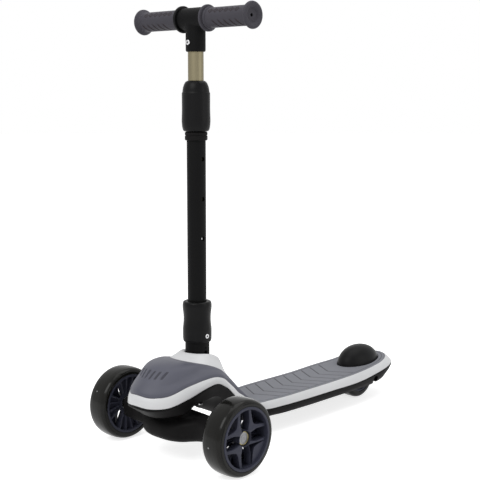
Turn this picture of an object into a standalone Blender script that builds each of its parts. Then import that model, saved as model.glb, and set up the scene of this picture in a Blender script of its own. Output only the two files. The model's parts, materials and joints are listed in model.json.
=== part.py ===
"""Folding three-wheeled kick scooter that steers by leaning.

Metres, +Z up, the rider looks along -Y and the rider's left is +X.  The origin
lies on the ground under the middle of the scooter.  Shapes are modelled from the
ground point under the front axle, and the empty "scooter" carries them to place.
"""
import bpy
import bmesh
import math
from mathutils import Matrix, Vector

for leftover in list(bpy.data.objects):
    bpy.data.objects.remove(leftover, do_unlink=True)

# Clearances and the small unit that the outline tables use
MM = 0.001
GAP = 0.0003
RUNNING = 0.00035
SEAM = 0.0008

# Driving dimensions of the whole scooter
WHEELBASE = 0.460
NOSE_OVERHANG = 0.088
TAIL_OVERHANG = 0.092
STEM_SETBACK = 0.045
AXLE_Y = NOSE_OVERHANG - (NOSE_OVERHANG + WHEELBASE + TAIL_OVERHANG) / 2

# Front wheels
FRONT_RADIUS = 0.060
TRACK_HALF = 0.133
TYRE_HALF = 0.0198
TYRE_BORE = 0.0494
TYRE_RIB = 0.0016
TYRE_RIB_HALF = 0.004
HUB_FACE = 0.0205
HUB_WALL = 0.0042
BOSS_RADIUS = 0.0132
BOSS_FACE = 0.0104
SPOKE_WIDTH = 0.0046
SPOKE_FORK = 0.0225
SPOKE_SPREAD = 31.0
SPOKE_START = 47.0
WEB_NEAR = 0.0025
WEB_FAR = 0.0160
CAP_THICK = 0.0014

# Bearings and axle bolts, the same on all three wheels
BEARING_RADIUS = 0.0110
BEARING_WIDTH = 0.0070
BOLT_RADIUS = 0.0038
BOLT_HEAD = 0.0062
BOLT_HEAD_THICK = 0.0030
FRONT_BEARING_OUTER = 0.0010
FRONT_BEARING_INNER = -0.0105
SHOULDER_RADIUS = 0.0092
AXLE_GRIP = 0.030

# Rear wheel
REAR_RADIUS = 0.040
REAR_HALF = 0.0145
REAR_BORE = 0.0290
WELL_SIDE = 0.0042
REAR_WELL_Y = 0.0450
REAR_BEARING = 0.0065

# Steering truck and its raked kingpin
RAKE = math.radians(32.0)
KING_Z = 0.0550
KING_RADIUS = 0.0050
KING_HEAD = 0.0080
BUSH_RADIUS = 0.0140
BUSH_BOTTOM = 0.0120
BUSH_THICK = 0.0115
LOW_BUSH_TOP = -0.0080
LOW_BUSH_THICK = 0.0050
NUT_THICK = 0.0065
FRAME_BOSS_RADIUS = 0.0150
FRAME_BOSS_LENGTH = 0.0210
ARM_END = TRACK_HALF - 0.022
ARM_BOSS_RADIUS = 0.0080

# Folding neck, collar and lock, each height built on the one below it
FOLD_Z = 0.130
FOLD_PIN_RADIUS = 0.0040
LUG_HALF = 0.0119
LUG_RADIUS = 0.0145
CHEEK_THICK = 0.0050
CHEEK_RADIUS = 0.0161
NECK_RADIUS = 0.01945
NECK_BOTTOM = FOLD_Z + 0.022
LOCK_PIN_RADIUS = 0.0030
LOCK_PIN_Z = FOLD_Z + CHEEK_RADIUS + LOCK_PIN_RADIUS + GAP
LOCK_ROD_RADIUS = 0.0050
LOCK_TRAVEL = 0.012
SET_SCREW_Z = NECK_BOTTOM + 0.017
COLLAR_BOTTOM = SET_SCREW_Z + 0.009
COLLAR_SCREW_Z = COLLAR_BOTTOM + 0.0105
COLLAR_SCREW_RADIUS = 0.0025
COLLAR_SCREW_HEAD = 0.0036
LOCK_ROD_TOP = COLLAR_SCREW_Z + 0.0065
SPRING_LENGTH = 0.031
SPRING_TOP = LOCK_ROD_TOP + SPRING_LENGTH
SPRING_TURNS = 6
SPRING_RADIUS = 0.0040
SPRING_WIRE = 0.0006

# Stem tubes: lengths, and how deep each is seated in the one below it
TUBE_RADIUS = 0.0149
TUBE_BORE = 0.0125
TUBE_SEAT = 0.030
TUBE_LENGTH = 0.368
TUBE_BOTTOM = COLLAR_SCREW_Z + LOCK_TRAVEL + 0.0055
TUBE_TOP = TUBE_BOTTOM + TUBE_LENGTH
NECK_TOP = TUBE_BOTTOM + TUBE_SEAT
COLLAR_TOP = NECK_TOP + 0.0075
SLEEVE_LENGTH = 0.078
SLEEVE_TOP = TUBE_TOP + 0.016
SLEEVE_BOTTOM = SLEEVE_TOP - SLEEVE_LENGTH
SLEEVE_RADIUS = 0.022
RING_HEIGHT = 0.0135
RING_TOP = SLEEVE_BOTTOM - 0.0005
RING_BOTTOM = RING_TOP - RING_HEIGHT
COLLET_RADIUS = 0.0150
HOLE_RADIUS = 0.0036
HOLE_STEP = 0.0625
HOLES = 3
HOLE_LOW = RING_BOTTOM - 0.029 - (HOLES - 1) * HOLE_STEP
INNER_RADIUS = 0.0122
INNER_BORE = 0.0109
INNER_BOTTOM = HOLE_LOW - 0.014
EXPOSED = 0.070
INNER_TOP = SLEEVE_TOP + EXPOSED

# Handlebar
TEE_SEAT = 0.026
TEE_BOTTOM = INNER_TOP - TEE_SEAT
TEE_SCREW_Z = TEE_BOTTOM + 0.014
BAR_Z = INNER_TOP + 0.024
BAR_RADIUS = 0.0110
BAR_BORE = 0.0095
BAR_HALF = 0.1170
TEE_RADIUS = 0.0155
BARREL_RADIUS = 0.0172
BARREL_HALF = 0.0250
LEAF_THICK = 0.0007
GRIP_END = 0.1233
GRIP_DISH = 0.0048
GRIP_RADIUS = 0.01535
FLANGE_RADIUS = 0.0205
FLANGE_THICK = 0.0055
SPACER_THICK = 0.0040

# Shells and mat
SHELL_WALL = 0.0022
COVER_WALL = 0.0019
BASE_WALL = 0.0025
MAT_WALL = 0.0021
COVER_GAP = 0.0006
RECESS = COVER_WALL + COVER_GAP
STEP_RUN = 0.0012
STEP_ASIDE = 0.0040
BAND_SWELL = 0.0014
FRAME_PLATE_Z = 0.0990
FRAME_PLATE_THICK = 0.0050

# Foot brake
DOME_HALF_X = 0.0305
DOME_HALF_Y = 0.0490
DOME_HEIGHT = 0.0322
DOME_WALL = 0.0025
DOME_FIT = 0.0010
DOME_Y = WHEELBASE + 0.0080
DOME_BASE_Z = 0.0660
BRAKE_PIN_Y = WHEELBASE - 0.0440
LUG_THICK = 0.0032
BRAKE_PIN_Z = 0.0520
BRAKE_PIN_RADIUS = 0.0025
PAD_CLEAR = 0.0032
PAD_HALF = 0.0080
DOME_CLEAR = 0.0008
DOME_SIDE = 0.0026
PRESS = math.radians(3.3)

WHEEL_STEPS = 28
ROUND = 20
SMALL = 12


# Scene helpers

def collection(name):
    group = bpy.data.collections.new(name)
    bpy.context.scene.collection.children.link(group)
    return group


PARTS = collection("folding_kick_scooter")
CUTTERS = collection("cutters")
PIVOTS = {}


def material(name, colour, roughness, metallic=0.0):
    made = bpy.data.materials.new(name)
    made.use_nodes = True
    shader = made.node_tree.nodes["Principled BSDF"]
    shader.inputs["Base Color"].default_value = (*colour, 1.0)
    shader.inputs["Roughness"].default_value = roughness
    shader.inputs["Metallic"].default_value = metallic
    made.diffuse_color = (*colour, 1.0)
    return made


def pivot(name, at, parent=None):
    """An empty on a joint's axis; at is measured from the front axle's ground point."""
    empty = bpy.data.objects.new(name, None)
    PARTS.objects.link(empty)
    empty.empty_display_size = 0.02
    base = PIVOTS[parent] if parent else Vector((0, -AXLE_Y, 0))
    empty.location = Vector(at) - base
    if parent:
        empty.parent = bpy.data.objects[parent]
    PIVOTS[name] = Vector(at)
    return empty


def own(obj, paint, parent, at=(0, 0, 0), along=(0, 0, 1)):
    """Put a part in place on its pivot, with its local Z turned to the given direction."""
    PARTS.objects.link(obj)
    settle(obj, parent, at, along)
    obj.data.materials.append(paint)
    return obj


def settle(obj, parent, at, along):
    obj.parent = bpy.data.objects[parent]
    obj.location = Vector(at) - PIVOTS[parent]
    obj.rotation_mode = "QUATERNION"
    obj.rotation_quaternion = facing(Vector(along))


def facing(out):
    """Turn local Z to a direction, with local Y as near to upright as it can be."""
    out = out.normalized()
    guide = Vector((0, 1, 0)) if abs(out.z) > 0.7 else Vector((0, 0, 1))
    up = (guide - out * guide.dot(out)).normalized()
    side = up.cross(out)
    return Matrix((side, up, out)).transposed().to_quaternion()


def tool(obj, parent, at=(0, 0, 0), along=(0, 0, 1)):
    """A helper solid that a Boolean uses; it isn't a part."""
    CUTTERS.objects.link(obj)
    settle(obj, parent, at, along)
    obj.hide_render = True
    obj.display_type = "WIRE"
    return obj


def boolean(obj, other, operation):
    change = obj.modifiers.new(operation.lower(), "BOOLEAN")
    change.operation = operation
    change.object = other
    change.solver = "EXACT"
    tidy = obj.modifiers.new("tidy", "WELD")
    tidy.merge_threshold = 0.000004


def cut(obj, other):
    boolean(obj, other, "DIFFERENCE")


def join(obj, other):
    boolean(obj, other, "UNION")


# Shape helpers

def mesh_object(name, verts, edges, faces):
    mesh = bpy.data.meshes.new(name)
    mesh.from_pydata([tuple(v) for v in verts], edges, faces)
    mesh.update()
    return bpy.data.objects.new(name, mesh)


def turned(name, profile, steps=ROUND, ring=True):
    """A profile of (radius, height) points, outer side first and downwards, turned about Z."""
    points = [(r, 0.0, h) for r, h in profile]
    count = len(points)
    edges = [(i, i + 1) for i in range(count - 1)]
    if ring:
        edges.append((count - 1, 0))
    obj = mesh_object(name, points, edges, [])
    screw = obj.modifiers.new("turn", "SCREW")
    screw.axis = "Z"
    screw.angle = 2 * math.pi
    screw.steps = steps
    screw.render_steps = steps
    screw.use_merge_vertices = True
    screw.merge_threshold = 0.00001
    screw.use_smooth_shade = True
    return obj


def pipe(name, outer, inner, low, high, steps=ROUND):
    """A plain tube between two heights."""
    return turned(name, [(outer, high), (outer, low), (inner, low), (inner, high)], steps)


def rod(name, radius, low, high, steps=SMALL):
    """A plain round bar between two heights along its own Z."""
    return turned(name, [(0, high), (radius, high), (radius, low), (0, low)], steps, ring=False)


def box(name, low, high):
    """A box between two corners, its origin at the middle of the box."""
    size = [high[k] - low[k] for k in range(3)]
    mesh = bpy.data.meshes.new(name)
    shape = bmesh.new()
    bmesh.ops.create_cube(shape, size=1.0)
    bmesh.ops.scale(shape, vec=size, verts=shape.verts)
    middle = Vector([(high[k] + low[k]) / 2 for k in range(3)])
    bmesh.ops.translate(shape, vec=middle, verts=shape.verts)
    shape.to_mesh(mesh)
    shape.free()
    return bpy.data.objects.new(name, mesh)


def outline_plate(name, outlines, thickness):
    """Flat outlines in local XY, the later ones holes, made solid about z = 0."""
    curve = bpy.data.curves.new(name + "_outline", "CURVE")
    curve.dimensions = "2D"
    curve.fill_mode = "BOTH"
    curve.extrude = thickness / 2
    for points in outlines:
        line = curve.splines.new("POLY")
        line.points.add(len(points) - 1)
        for k, (x, y) in enumerate(points):
            line.points[k].co = (x, y, 0, 1)
        line.use_cyclic_u = True
    drawn = bpy.data.objects.new(name + "_outline", curve)
    return to_mesh(drawn, name)


def to_mesh(drawn, name):
    """The welded mesh of a curve object."""
    bpy.context.scene.collection.objects.link(drawn)
    ready = drawn.evaluated_get(bpy.context.evaluated_depsgraph_get())
    mesh = bpy.data.meshes.new_from_object(ready)
    bpy.data.objects.remove(drawn, do_unlink=True)
    shape = bmesh.new()
    shape.from_mesh(mesh)
    bmesh.ops.remove_doubles(shape, verts=shape.verts, dist=0.000005)
    bmesh.ops.recalc_face_normals(shape, faces=shape.faces)
    shape.to_mesh(mesh)
    shape.free()
    mesh.name = name
    mesh.materials.clear()
    return bpy.data.objects.new(name, mesh)


def arc(centre, radius, start, end, count):
    """Points on an arc in degrees, both ends included."""
    found = []
    for k in range(count + 1):
        angle = math.radians(start + (end - start) * k / count)
        found.append((centre[0] + radius * math.cos(angle), centre[1] + radius * math.sin(angle)))
    return found


def turn(points, degrees):
    c, s = math.cos(math.radians(degrees)), math.sin(math.radians(degrees))
    return [(x * c - y * s, x * s + y * c) for x, y in points]


def sheet(name, rows):
    """A grid of points as an open surface."""
    wide = len(rows[0])
    verts = [p for row in rows for p in row]
    faces = []
    for i in range(len(rows) - 1):
        for j in range(wide - 1):
            a = i * wide + j
            faces.append((a, a + wide, a + wide + 1, a + 1))
    return mesh_object(name, verts, [], faces)


def split(a, b, c, d):
    """Two triangles for four corners, so that parallel skins bend along the same lines."""
    return [(a, b, c), (a, c, d)]


def mirror_x(obj):
    half = obj.modifiers.new("halves", "MIRROR")
    half.use_axis = (True, False, False)
    half.merge_threshold = 0.00001
    half.use_mirror_merge = True


def thicken(obj, wall, even=True):
    skin = obj.modifiers.new("wall", "SOLIDIFY")
    skin.thickness = wall
    skin.offset = -1
    skin.use_even_offset = even
    skin.use_quality_normals = True


def step(table, value):
    """Straight interpolation in a short table of (position, value)."""
    for (a, va), (b, vb) in zip(table, table[1:]):
        if value <= b:
            return va + (vb - va) * (value - a) / (b - a)
    return table[-1][1]


# The skin of the body, as key lines that run from the nose round the sides to the tail

REAR_SHIFT = WHEELBASE - 0.460
DECK_START = 150.0
DECK_FIXED = 400.0


def stretch(y):
    """Length along the body in metres: the deck takes up any change of the wheelbase."""
    if y <= DECK_START:
        return y * MM
    share = min(1.0, (y - DECK_START) / (DECK_FIXED - DECK_START))
    return y * MM + share * REAR_SHIFT


HEAD_ANGLES = (0.0, 22.5, 45.0, 67.5, 90.0)
TAIL_ANGLES = (0.0, 20.0, 40.0, 57.0, 74.0, 90.0)
TAIL_CENTRE = 455.0
TAIL_SQUARE = 0.92
DECK_STATIONS = (165, 200, 250, 330, 400)
DECK_TOP = ((140, 62.0), (330, 62.0), (375, 63.0), (420, 64.5), (462, 66.5), (492, 70.0),
            (524, 73.0), (540, 74.0))
BAND_BOTTOM = ((140, 48.6), (160, 48.0), (400, 47.8), (430, 48.4), (475, 54.0), (510, 58.0), (552, 60.0))
BASE_BOTTOM = ((140, 33.5), (440, 33.5), (466, 33.8), (482, 36.0), (494, 40.0), (515, 46.5), (545, 53.0))
BAND_WIDTH = ((150, 42.0), (165, 47.3), (200, 51.5), (245, 54.0), (335, 54.6), (380, 55.4), (420, 53.4))
MAT_WIDTH = ((150, 42.5), (165, 46.0), (200, 49.5), (245, 50.0), (335, 49.6), (380, 50.8), (420, 49.4))

# Each head line: nose y, centre y and half width of its front arc, then its side points
# (x, y), then the height of each of its points, nose first.  All in millimetres.
HEAD_LINES = {
    "band_low": (-88, 8, 63.5,
                 [(62, 32), (60, 53), (57.5, 71), (53, 90), (47.5, 108), (45.7, 118), (44.5, 127),
                  (43, 140), (42, 150)],
                 [99, 96.6, 97.8, 108.8, 120.3, 121, 110, 95, 79, 65.5, 59, 55, 51, 49]),
    "band_high": (-84, 6, 59.5,
                  [(58.7, 30), (57, 47), (53, 62), (49, 78), (45, 95), (43.8, 104), (43.2, 117),
                   (42.8, 131), (42.5, 146)],
                  [115, 112.4, 114.8, 126.2, 132, 131.5, 126, 116, 104, 90, 84.5, 75.5, 67.3, 62]),
    "crease": (-77, 6, 53,
               [(51.5, 30), (50, 46), (48, 62), (45.8, 78), (43.4, 96), (42.4, 105), (41.8, 117.5),
                (41.4, 131.3), (41.2, 146)],
               [127.6, 126.4, 127.2, 133.2, 138, 137.5, 134, 123, 109.5, 93.2, 86.5, 76.7, 67.8, 62]),
    "brow": (-50, 10, 46,
             [(47.5, 32), (47.5, 47), (46, 63), (44, 79), (42.3, 97), (41.4, 106), (40.7, 118),
              (40.2, 131.6), (40.2, 146)],
             [152, 151.5, 151, 149, 144.5, 140.5, 136, 125, 111.8, 94.6, 87.4, 77.3, 68.1, 62]),
    "crown": (-22, 18, 42,
              [(44.5, 37), (44.5, 50), (43.5, 65), (42, 80.5), (40.8, 98), (40, 107), (39.3, 118.7),
               (38.8, 132), (38.8, 146)],
              [157, 156.5, 155.5, 152.5, 147.5, 142.5, 138, 127, 113, 95.3, 88, 77.8, 68.3, 62]),
    "cone_foot": (1, 40, 41,
                  [(41, 48), (40.8, 57), (40.2, 69), (39.4, 83), (38.4, 99.5), (37.6, 108.5),
                   (37, 119.5), (36.5, 132.5), (36.5, 146)],
                  [155, 154.5, 152.5, 149, 143.5, 140, 135, 126, 112.5, 95.5, 88.3, 78, 68.5, 62]),
    "rim": (20, 45, 25,
            [(24.7, 56), (24.7, 67), (24.6, 78), (24.5, 88), (24.3, 99), (23, 109), (22, 120),
             (21, 132.5), (20, 146)],
            [163, 163, 162.5, 162, 160.5, 157.5, 151, 132, 116, 101, 90, 77.5, 68.2, 62]),
    "mouth": (24, 45, 21,
              [(21, 56), (21, 67), (21, 78), (18.5, 88), (9, 96), (0, 98.5), (0, 119.5),
               (0, 132.5), (0, 146)],
              [161, 161, 160.5, 159.5, 158, 155.5, 149.5, 131, 117.5, 105.5, 102.5, 78, 68, 62]),
}
LINE_ORDER = ("band_low", "band_high", "crease", "brow", "crown", "cone_foot", "rim", "mouth")


def head_rows():
    """The head's rows of key points, from the nose to the foot of the slope."""
    lines = []
    for key in LINE_ORDER:
        nose, centre, half, side, heights = HEAD_LINES[key]
        plan = []
        for angle in HEAD_ANGLES:
            t = math.radians(angle)
            plan.append((half * math.sin(t), centre + (nose - centre) * math.cos(t)))
        plan += side
        lines.append([Vector((x * MM, y * MM, z * MM)) for (x, y), z in zip(plan, heights)])
    return [list(row) for row in zip(*lines)]


def deck_rows():
    """The deck's rows of key points behind the head, ending on the tail's centre line."""
    rows = []
    inner = len(LINE_ORDER) - 2
    for y in DECK_STATIONS:
        rows.append(deck_row((step(BAND_WIDTH, y), y), (step(MAT_WIDTH, y), y), y, inner))
    for angle in TAIL_ANGLES:
        c, s = math.cos(math.radians(angle)), math.sin(math.radians(angle))
        c = 0.0 if angle == TAIL_ANGLES[-1] else c
        low = (51 * c ** TAIL_SQUARE, TAIL_CENTRE + 97 * s ** TAIL_SQUARE)
        high = (45.8 * c, TAIL_CENTRE + 80 * s)
        rows.append(deck_row(low, high, TAIL_CENTRE + 55 * s, inner))
    return rows


def deck_row(low, high, middle_y, inner):
    row = [Vector((low[0] * MM, stretch(low[1]), step(BAND_BOTTOM, low[1]) * MM))]
    for k in range(inner + 1):
        share = k / inner
        x = high[0] * (1 - share)
        y = high[1] + (middle_y - high[1]) * share
        row.append(Vector((x * MM, stretch(y), step(DECK_TOP, y) * MM)))
    return row


def finer(rows, last):
    """A smooth row between each pair of the first rows, so that the nose is round."""
    found = []
    for i, row in enumerate(rows):
        found.append(row)
        if i >= last:
            continue
        before = rows[i - 1] if i else [Vector((-p.x, p.y, p.z)) for p in rows[1]]
        after, beyond = rows[i + 1], rows[i + 2]
        middle = [(9 * (b + c) - a - d) / 16 for a, b, c, d in zip(before, row, after, beyond)]
        found.append([Vector((max(p.x, 0.0), p.y, p.z)) for p in middle])
    return found


def row_normals(rows):
    """Outward direction at each point of a grid, from its neighbours."""
    found = []
    for i, row in enumerate(rows):
        line = []
        for j, here in enumerate(row):
            if i == 0:
                other = rows[1][j]
                ahead, behind = other, Vector((-other.x, other.y, other.z))
            else:
                ahead, behind = rows[min(i + 1, len(rows) - 1)][j], rows[i - 1][j]
            across = row[min(j + 1, len(row) - 1)] - row[max(j - 1, 0)]
            normal = (ahead - behind).cross(across)
            if abs(here.x) < 1e-7:
                normal.x = 0.0
            line.append(normal.normalized())
        found.append(line)
    return found


FINE_ROWS = 6
HEAD = finer(head_rows(), FINE_ROWS)
DECK = deck_rows()
HEAD_PATCH = [row[1:6] for row in HEAD]
HEAD_PATCH_NORMALS = row_normals(HEAD_PATCH)
UP = Vector((0, 0, 1))
ACROSS = Vector((1, 0, 0))


def outward(line):
    """Level direction away from the body at each point of an edge from nose to tail."""
    found = []
    for k, here in enumerate(line):
        before, after = line[max(k - 1, 0)], line[min(k + 1, len(line) - 1)]
        if k == 0:
            before = Vector((-after.x, after.y, after.z))
        if k == len(line) - 1:
            after = Vector((-before.x, before.y, before.z))
        found.append(Vector((after.y - before.y, before.x - after.x, 0)).normalized())
    return found


def skin_rows(row, out, floor, drops, rest, rest_drops):
    """One row of the shell: outer points, then the inner points at the same places."""
    middle = (row[0] + row[1]) / 2 + out * BAND_SWELL
    inner_middle = middle - out * SHELL_WALL
    corner = floor[0] - drops[0] * SHELL_WALL - out * 0.0006
    aside = (rest[1] - rest[0]).normalized() * 0.0015
    under = [p - n * SHELL_WALL for p, n in zip(floor[1:], drops[1:])]
    under[-1] = under[-1] + aside
    beyond = [p - n * SHELL_WALL for p, n in zip(rest, rest_drops)]
    beyond[0] = beyond[0] + aside
    outer = [row[0], middle, row[1]] + floor + rest
    band = [row[0] - out * SHELL_WALL, inner_middle, (inner_middle + corner) / 2, corner]
    inner = band + under + beyond
    return outer, inner


def white_shell():
    """Band, recess under the cover and the mat, and the cone round the neck, as one skin."""
    down = UP * RECESS
    edge = Vector((0, STEP_RUN, 0))
    start = [p + edge for p in HEAD[-1]]
    outs = outward([row[0] for row in HEAD + [start] + DECK])
    cones = row_normals([row[5:] for row in HEAD])
    rows = []
    for row, out, patch, cone in zip(HEAD, outs, HEAD_PATCH_NORMALS, cones):
        floor = [p - n * RECESS for p, n in zip(row[1:6], patch)]
        rows.append(skin_rows(row, out, floor, patch, row[5:], cone))
    for row, out in zip([start] + DECK, outs[len(HEAD):]):
        second = row[5] - Vector((STEP_ASIDE, 0, 0)) if row is start else (row[5] * 2 + row[6]) / 3
        rest = [p - down for p in [second] + row[6:]]
        rows.append(skin_rows(row, out, [p - down for p in row[1:6]], [UP] * 5, rest, [UP] * 3))
    shell = two_skins("white_shell", [outer for outer, _ in rows], [inner for _, inner in rows])
    mirror_x(shell)
    return shell


def two_skins(name, outer, inner, end=False):
    """A wall between two grids of points; it's left open only where it meets the mirror."""
    wide, count = len(outer[0]), len(outer) * len(outer[0])
    verts = [p for row in outer + inner for p in row]
    faces = []
    for i in range(len(outer) - 1):
        for j in range(wide - 1):
            a = i * wide + j
            pair = split(a, a + wide, a + wide + 1, a + 1)
            faces += pair + [tuple(k + count for k in reversed(face)) for face in pair]
        a = i * wide
        faces += split(a, a + count, a + count + wide, a + wide)
        a += wide - 1
        if outer[i][-1].x > 0 or outer[i + 1][-1].x > 0:
            faces += split(a, a + wide, a + count + wide, a + count)
    if end:
        for a in range(count - wide, count - 1):
            faces += split(a + 1, a, a + count, a + count + 1)
    return mesh_object(name, verts, [], faces)


def inset(rows, i, edge, inside):
    """Direction in from an edge of a grid, square to that edge."""
    along = rows[min(i + 1, len(rows) - 1)][edge] - rows[max(i - 1, 0)][edge]
    if i == 0:
        along = ACROSS.copy()
    along.normalize()
    way = rows[i][inside] - rows[i][edge]
    return (way - along * way.dot(along)).normalized()


def head_cover():
    """The grey cap over the head, with a tail down each side of the slope."""
    outer, inner = [], []
    for i, (row, normals) in enumerate(zip(HEAD_PATCH, HEAD_PATCH_NORMALS)):
        first = row[0] + inset(HEAD_PATCH, i, 0, 1) * COVER_GAP
        last = row[-1] + inset(HEAD_PATCH, i, -1, -2) * COVER_GAP
        outer.append([first] + row[1:-1] + [last])
        inner.append([p - n * COVER_WALL for p, n in zip(outer[-1], normals)])
    cover = two_skins("head_cover", outer, inner, end=True)
    mirror_x(cover)
    return cover


def deck_mat():
    """The mat in the deck's recess, open round the brake."""
    inset = 2 * GAP
    foot = HEAD[-1]
    front = Vector((0, STEP_RUN + GAP, 0))
    rows = [[foot[1] + front - Vector((inset, 0, 0))] + [p + front for p in foot[2:]]]
    for row in DECK:
        pull = (row[2] - row[1]).normalized() * inset
        rows.append([row[1] + pull] + row[2:])
    mat = sheet("deck_mat", rows)
    mirror_x(mat)
    thicken(mat, MAT_WALL)
    return mat


# The black base: skirt round the nose, wheel arches, keel and the tub under the deck

SKIRT_EDGE = [(0, -60, 76), (20, -56, 76.5), (37, -43, 79.5), (49, -22, 85), (58.5, 8, 99.5),
              (58.5, 27, 101.5), (56.5, 44, 94), (53.5, 58, 81), (49.5, 75, 65), (46.5, 92, 51.5),
              (45.5, 103, 43.5), (44.8, 113, 38), (44.5, 131, 34.5), (45, 150, 33.5)]
KEEL_LINE = [(0, -60, 76), (20, -56, 76.5), (37, -43, 79.5), (49, -22, 85), (28, 17, 91),
             (14, 31, 83), (0, 40, 70), (0, 55, 63), (0, 72, 55), (0, 90, 46), (0, 103, 39.5),
             (0, 115, 35), (0, 131, 34), (0, 150, 33.5)]
OPEN_ROWS = 4
LIP = 0.0030


def base_tub():
    """Skirt, arches, keel and tub as one skin under the white shell."""
    drop = Vector((0, 0, SEAM))
    rows = []
    for i, row in enumerate(head_rows()):
        edge, keel = Vector(SKIRT_EDGE[i]) * MM, Vector(KEEL_LINE[i]) * MM
        top = pull_in(row[0] - drop)
        lip = top - Vector((0, 0, LIP))
        if i < OPEN_ROWS:
            rows.append([top] + [lip + (edge - lip) * k / 5 for k in range(6)])
        else:
            across = [edge + (keel - edge) * k / 3 for k in (1, 2, 3)]
            rows.append([top, lip, (lip + edge) / 2, edge] + across)
    rows = finer(rows, FINE_ROWS)
    for k, row in enumerate(DECK):
        top = pull_in(row[0] - drop)
        if k < len(DECK_STATIONS):
            y = DECK_STATIONS[k]
            edge = (step(BAND_WIDTH, y) - 4.5, y)
            keel = (0, y)
        else:
            angle = math.radians(TAIL_ANGLES[k - len(DECK_STATIONS)])
            c = 0.0 if k == len(DECK) - 1 else math.cos(angle)
            edge = (46.5 * c ** TAIL_SQUARE, TAIL_CENTRE + 88 * math.sin(angle) ** TAIL_SQUARE)
            keel = (0, TAIL_CENTRE + 55 * math.sin(angle))
        line = []
        for share in (0.0, 1 / 3, 2 / 3, 1.0):
            x = edge[0] + (keel[0] - edge[0]) * share
            y = edge[1] + (keel[1] - edge[1]) * share
            line.append(Vector((x * MM, stretch(y), step(BASE_BOTTOM, y) * MM)))
        swell = Vector((0.0012, 0, 0)) if line[0].x > 0 else Vector((0, 0.0012, 0))
        lip = top - Vector((0, 0, LIP))
        rows.append([top, lip, (lip + line[0]) / 2 + swell] + line)
    tub = sheet("base_tub", [list(reversed(row)) for row in rows])
    mirror_x(tub)
    thicken(tub, BASE_WALL)
    return tub


def pull_in(point, amount=0.0004):
    """A point moved in from the outline by a small amount."""
    flat = Vector((point.x, 0, 0)) if point.x > amount else Vector((0, point.y - STEM_SETBACK, 0))
    return point - flat.normalized() * amount


# Places on the raked kingpin

KING = Vector((0, 0, KING_Z))
KING_AXIS = Vector((0, -math.sin(RAKE), math.cos(RAKE)))
FOLD = Vector((0, STEM_SETBACK, FOLD_Z))
REAR = Vector((0, WHEELBASE, REAR_RADIUS))
BRAKE_PIN = Vector((0, BRAKE_PIN_Y, BRAKE_PIN_Z))
RIGHT, LEFT = -1, 1
SIDES = ((LEFT, "left"), (RIGHT, "right"))


def stem_at(z):
    return Vector((0, STEM_SETBACK, z))


# Paints

DARK = (0.010, 0.010, 0.011)
WHITE = material("shell_white", (0.66, 0.67, 0.68), 0.35)
GREY = material("cover_grey", (0.115, 0.118, 0.145), 0.55)
MAT_GREY = material("mat_grey", (0.205, 0.21, 0.235), 0.75)
BLACK = material("black_plastic", (0.017, 0.016, 0.017), 0.5)
SOFT_BLACK = material("black_rubber", DARK, 0.7)
PAINTED = material("black_paint", DARK, 0.45)
GOLD = material("champagne_anodised", (0.29, 0.25, 0.16), 0.35, 1.0)
STEEL = material("bright_steel", (0.62, 0.62, 0.63), 0.25, 1.0)
SPRING_STEEL = material("spring_steel", (0.40, 0.40, 0.42), 0.35, 1.0)
CASTING = material("cast_alloy", (0.30, 0.30, 0.31), 0.5, 1.0)
TYRE = material("smoky_tyre", (0.020, 0.020, 0.018), 0.25)
HUB = material("hub_slate", (0.045, 0.045, 0.060), 0.45)
GRIP = material("grip_grey", (0.085, 0.080, 0.098), 0.65)
BUSHING = material("bushing_amber", (0.45, 0.20, 0.05), 0.5)


# Head frame, kingpin and fold pin

FRAME_HALF_X = 0.037
FRAME_FRONT = 0.012
FRAME_BACK = 0.072
POST_RADIUS = 0.0045
POST_HOLE = 0.0021
POSTS = ((0.031, 0.021), (0.027, 0.063))
FRAME_BOSS_START = BUSH_BOTTOM + BUSH_THICK + 2 * GAP


def head_frame():
    plate_top = FRAME_PLATE_Z + FRAME_PLATE_THICK
    frame = box("head_frame", (-FRAME_HALF_X, FRAME_FRONT, FRAME_PLATE_Z),
                (FRAME_HALF_X, FRAME_BACK, plate_top))
    own(frame, CASTING, "scooter")
    bridge = box("frame_bridge", (-0.011, -0.020, 0.090), (0.011, 0.020, plate_top - 0.001))
    join(frame, tool(bridge, "scooter"))
    top = FRAME_BOSS_START + FRAME_BOSS_LENGTH
    boss = rod("frame_boss", FRAME_BOSS_RADIUS, FRAME_BOSS_START, top, ROUND)
    join(frame, tool(boss, "scooter", KING, KING_AXIS))
    foot = plate_top - 0.001 - FOLD_Z
    for side, word in SIDES:
        profile = arc((0, 0), CHEEK_RADIUS, -14, 194, 12) + [(-0.021, foot), (0.021, foot)]
        cheek = outline_plate("cheek_" + word, [profile], CHEEK_THICK)
        middle = side * (LUG_HALF + RUNNING + CHEEK_THICK / 2)
        tool(cheek, "scooter", FOLD + ACROSS * middle, ACROSS)
        join(frame, cheek)
    room = rod("kingpin_head_room", KING_HEAD + 0.001, top - 0.0001, top + 0.02, SMALL)
    cut(frame, tool(room, "scooter", KING, KING_AXIS))
    bore = rod("kingpin_bore", KING_RADIUS + GAP, 0, 0.08, SMALL)
    cut(frame, tool(bore, "scooter", KING, KING_AXIS))
    hole = rod("fold_pin_bore", FOLD_PIN_RADIUS + GAP, -0.03, 0.03, SMALL)
    cut(frame, tool(hole, "scooter", FOLD, ACROSS))
    for k, (x, y) in enumerate(POSTS):
        for side, word in SIDES:
            drill = rod("frame_drill_%d_%s" % (k, word), POST_HOLE, -0.002, FRAME_PLATE_THICK + 0.002, 8)
            cut(frame, tool(drill, "scooter", (side * x, y, FRAME_PLATE_Z)))


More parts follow.
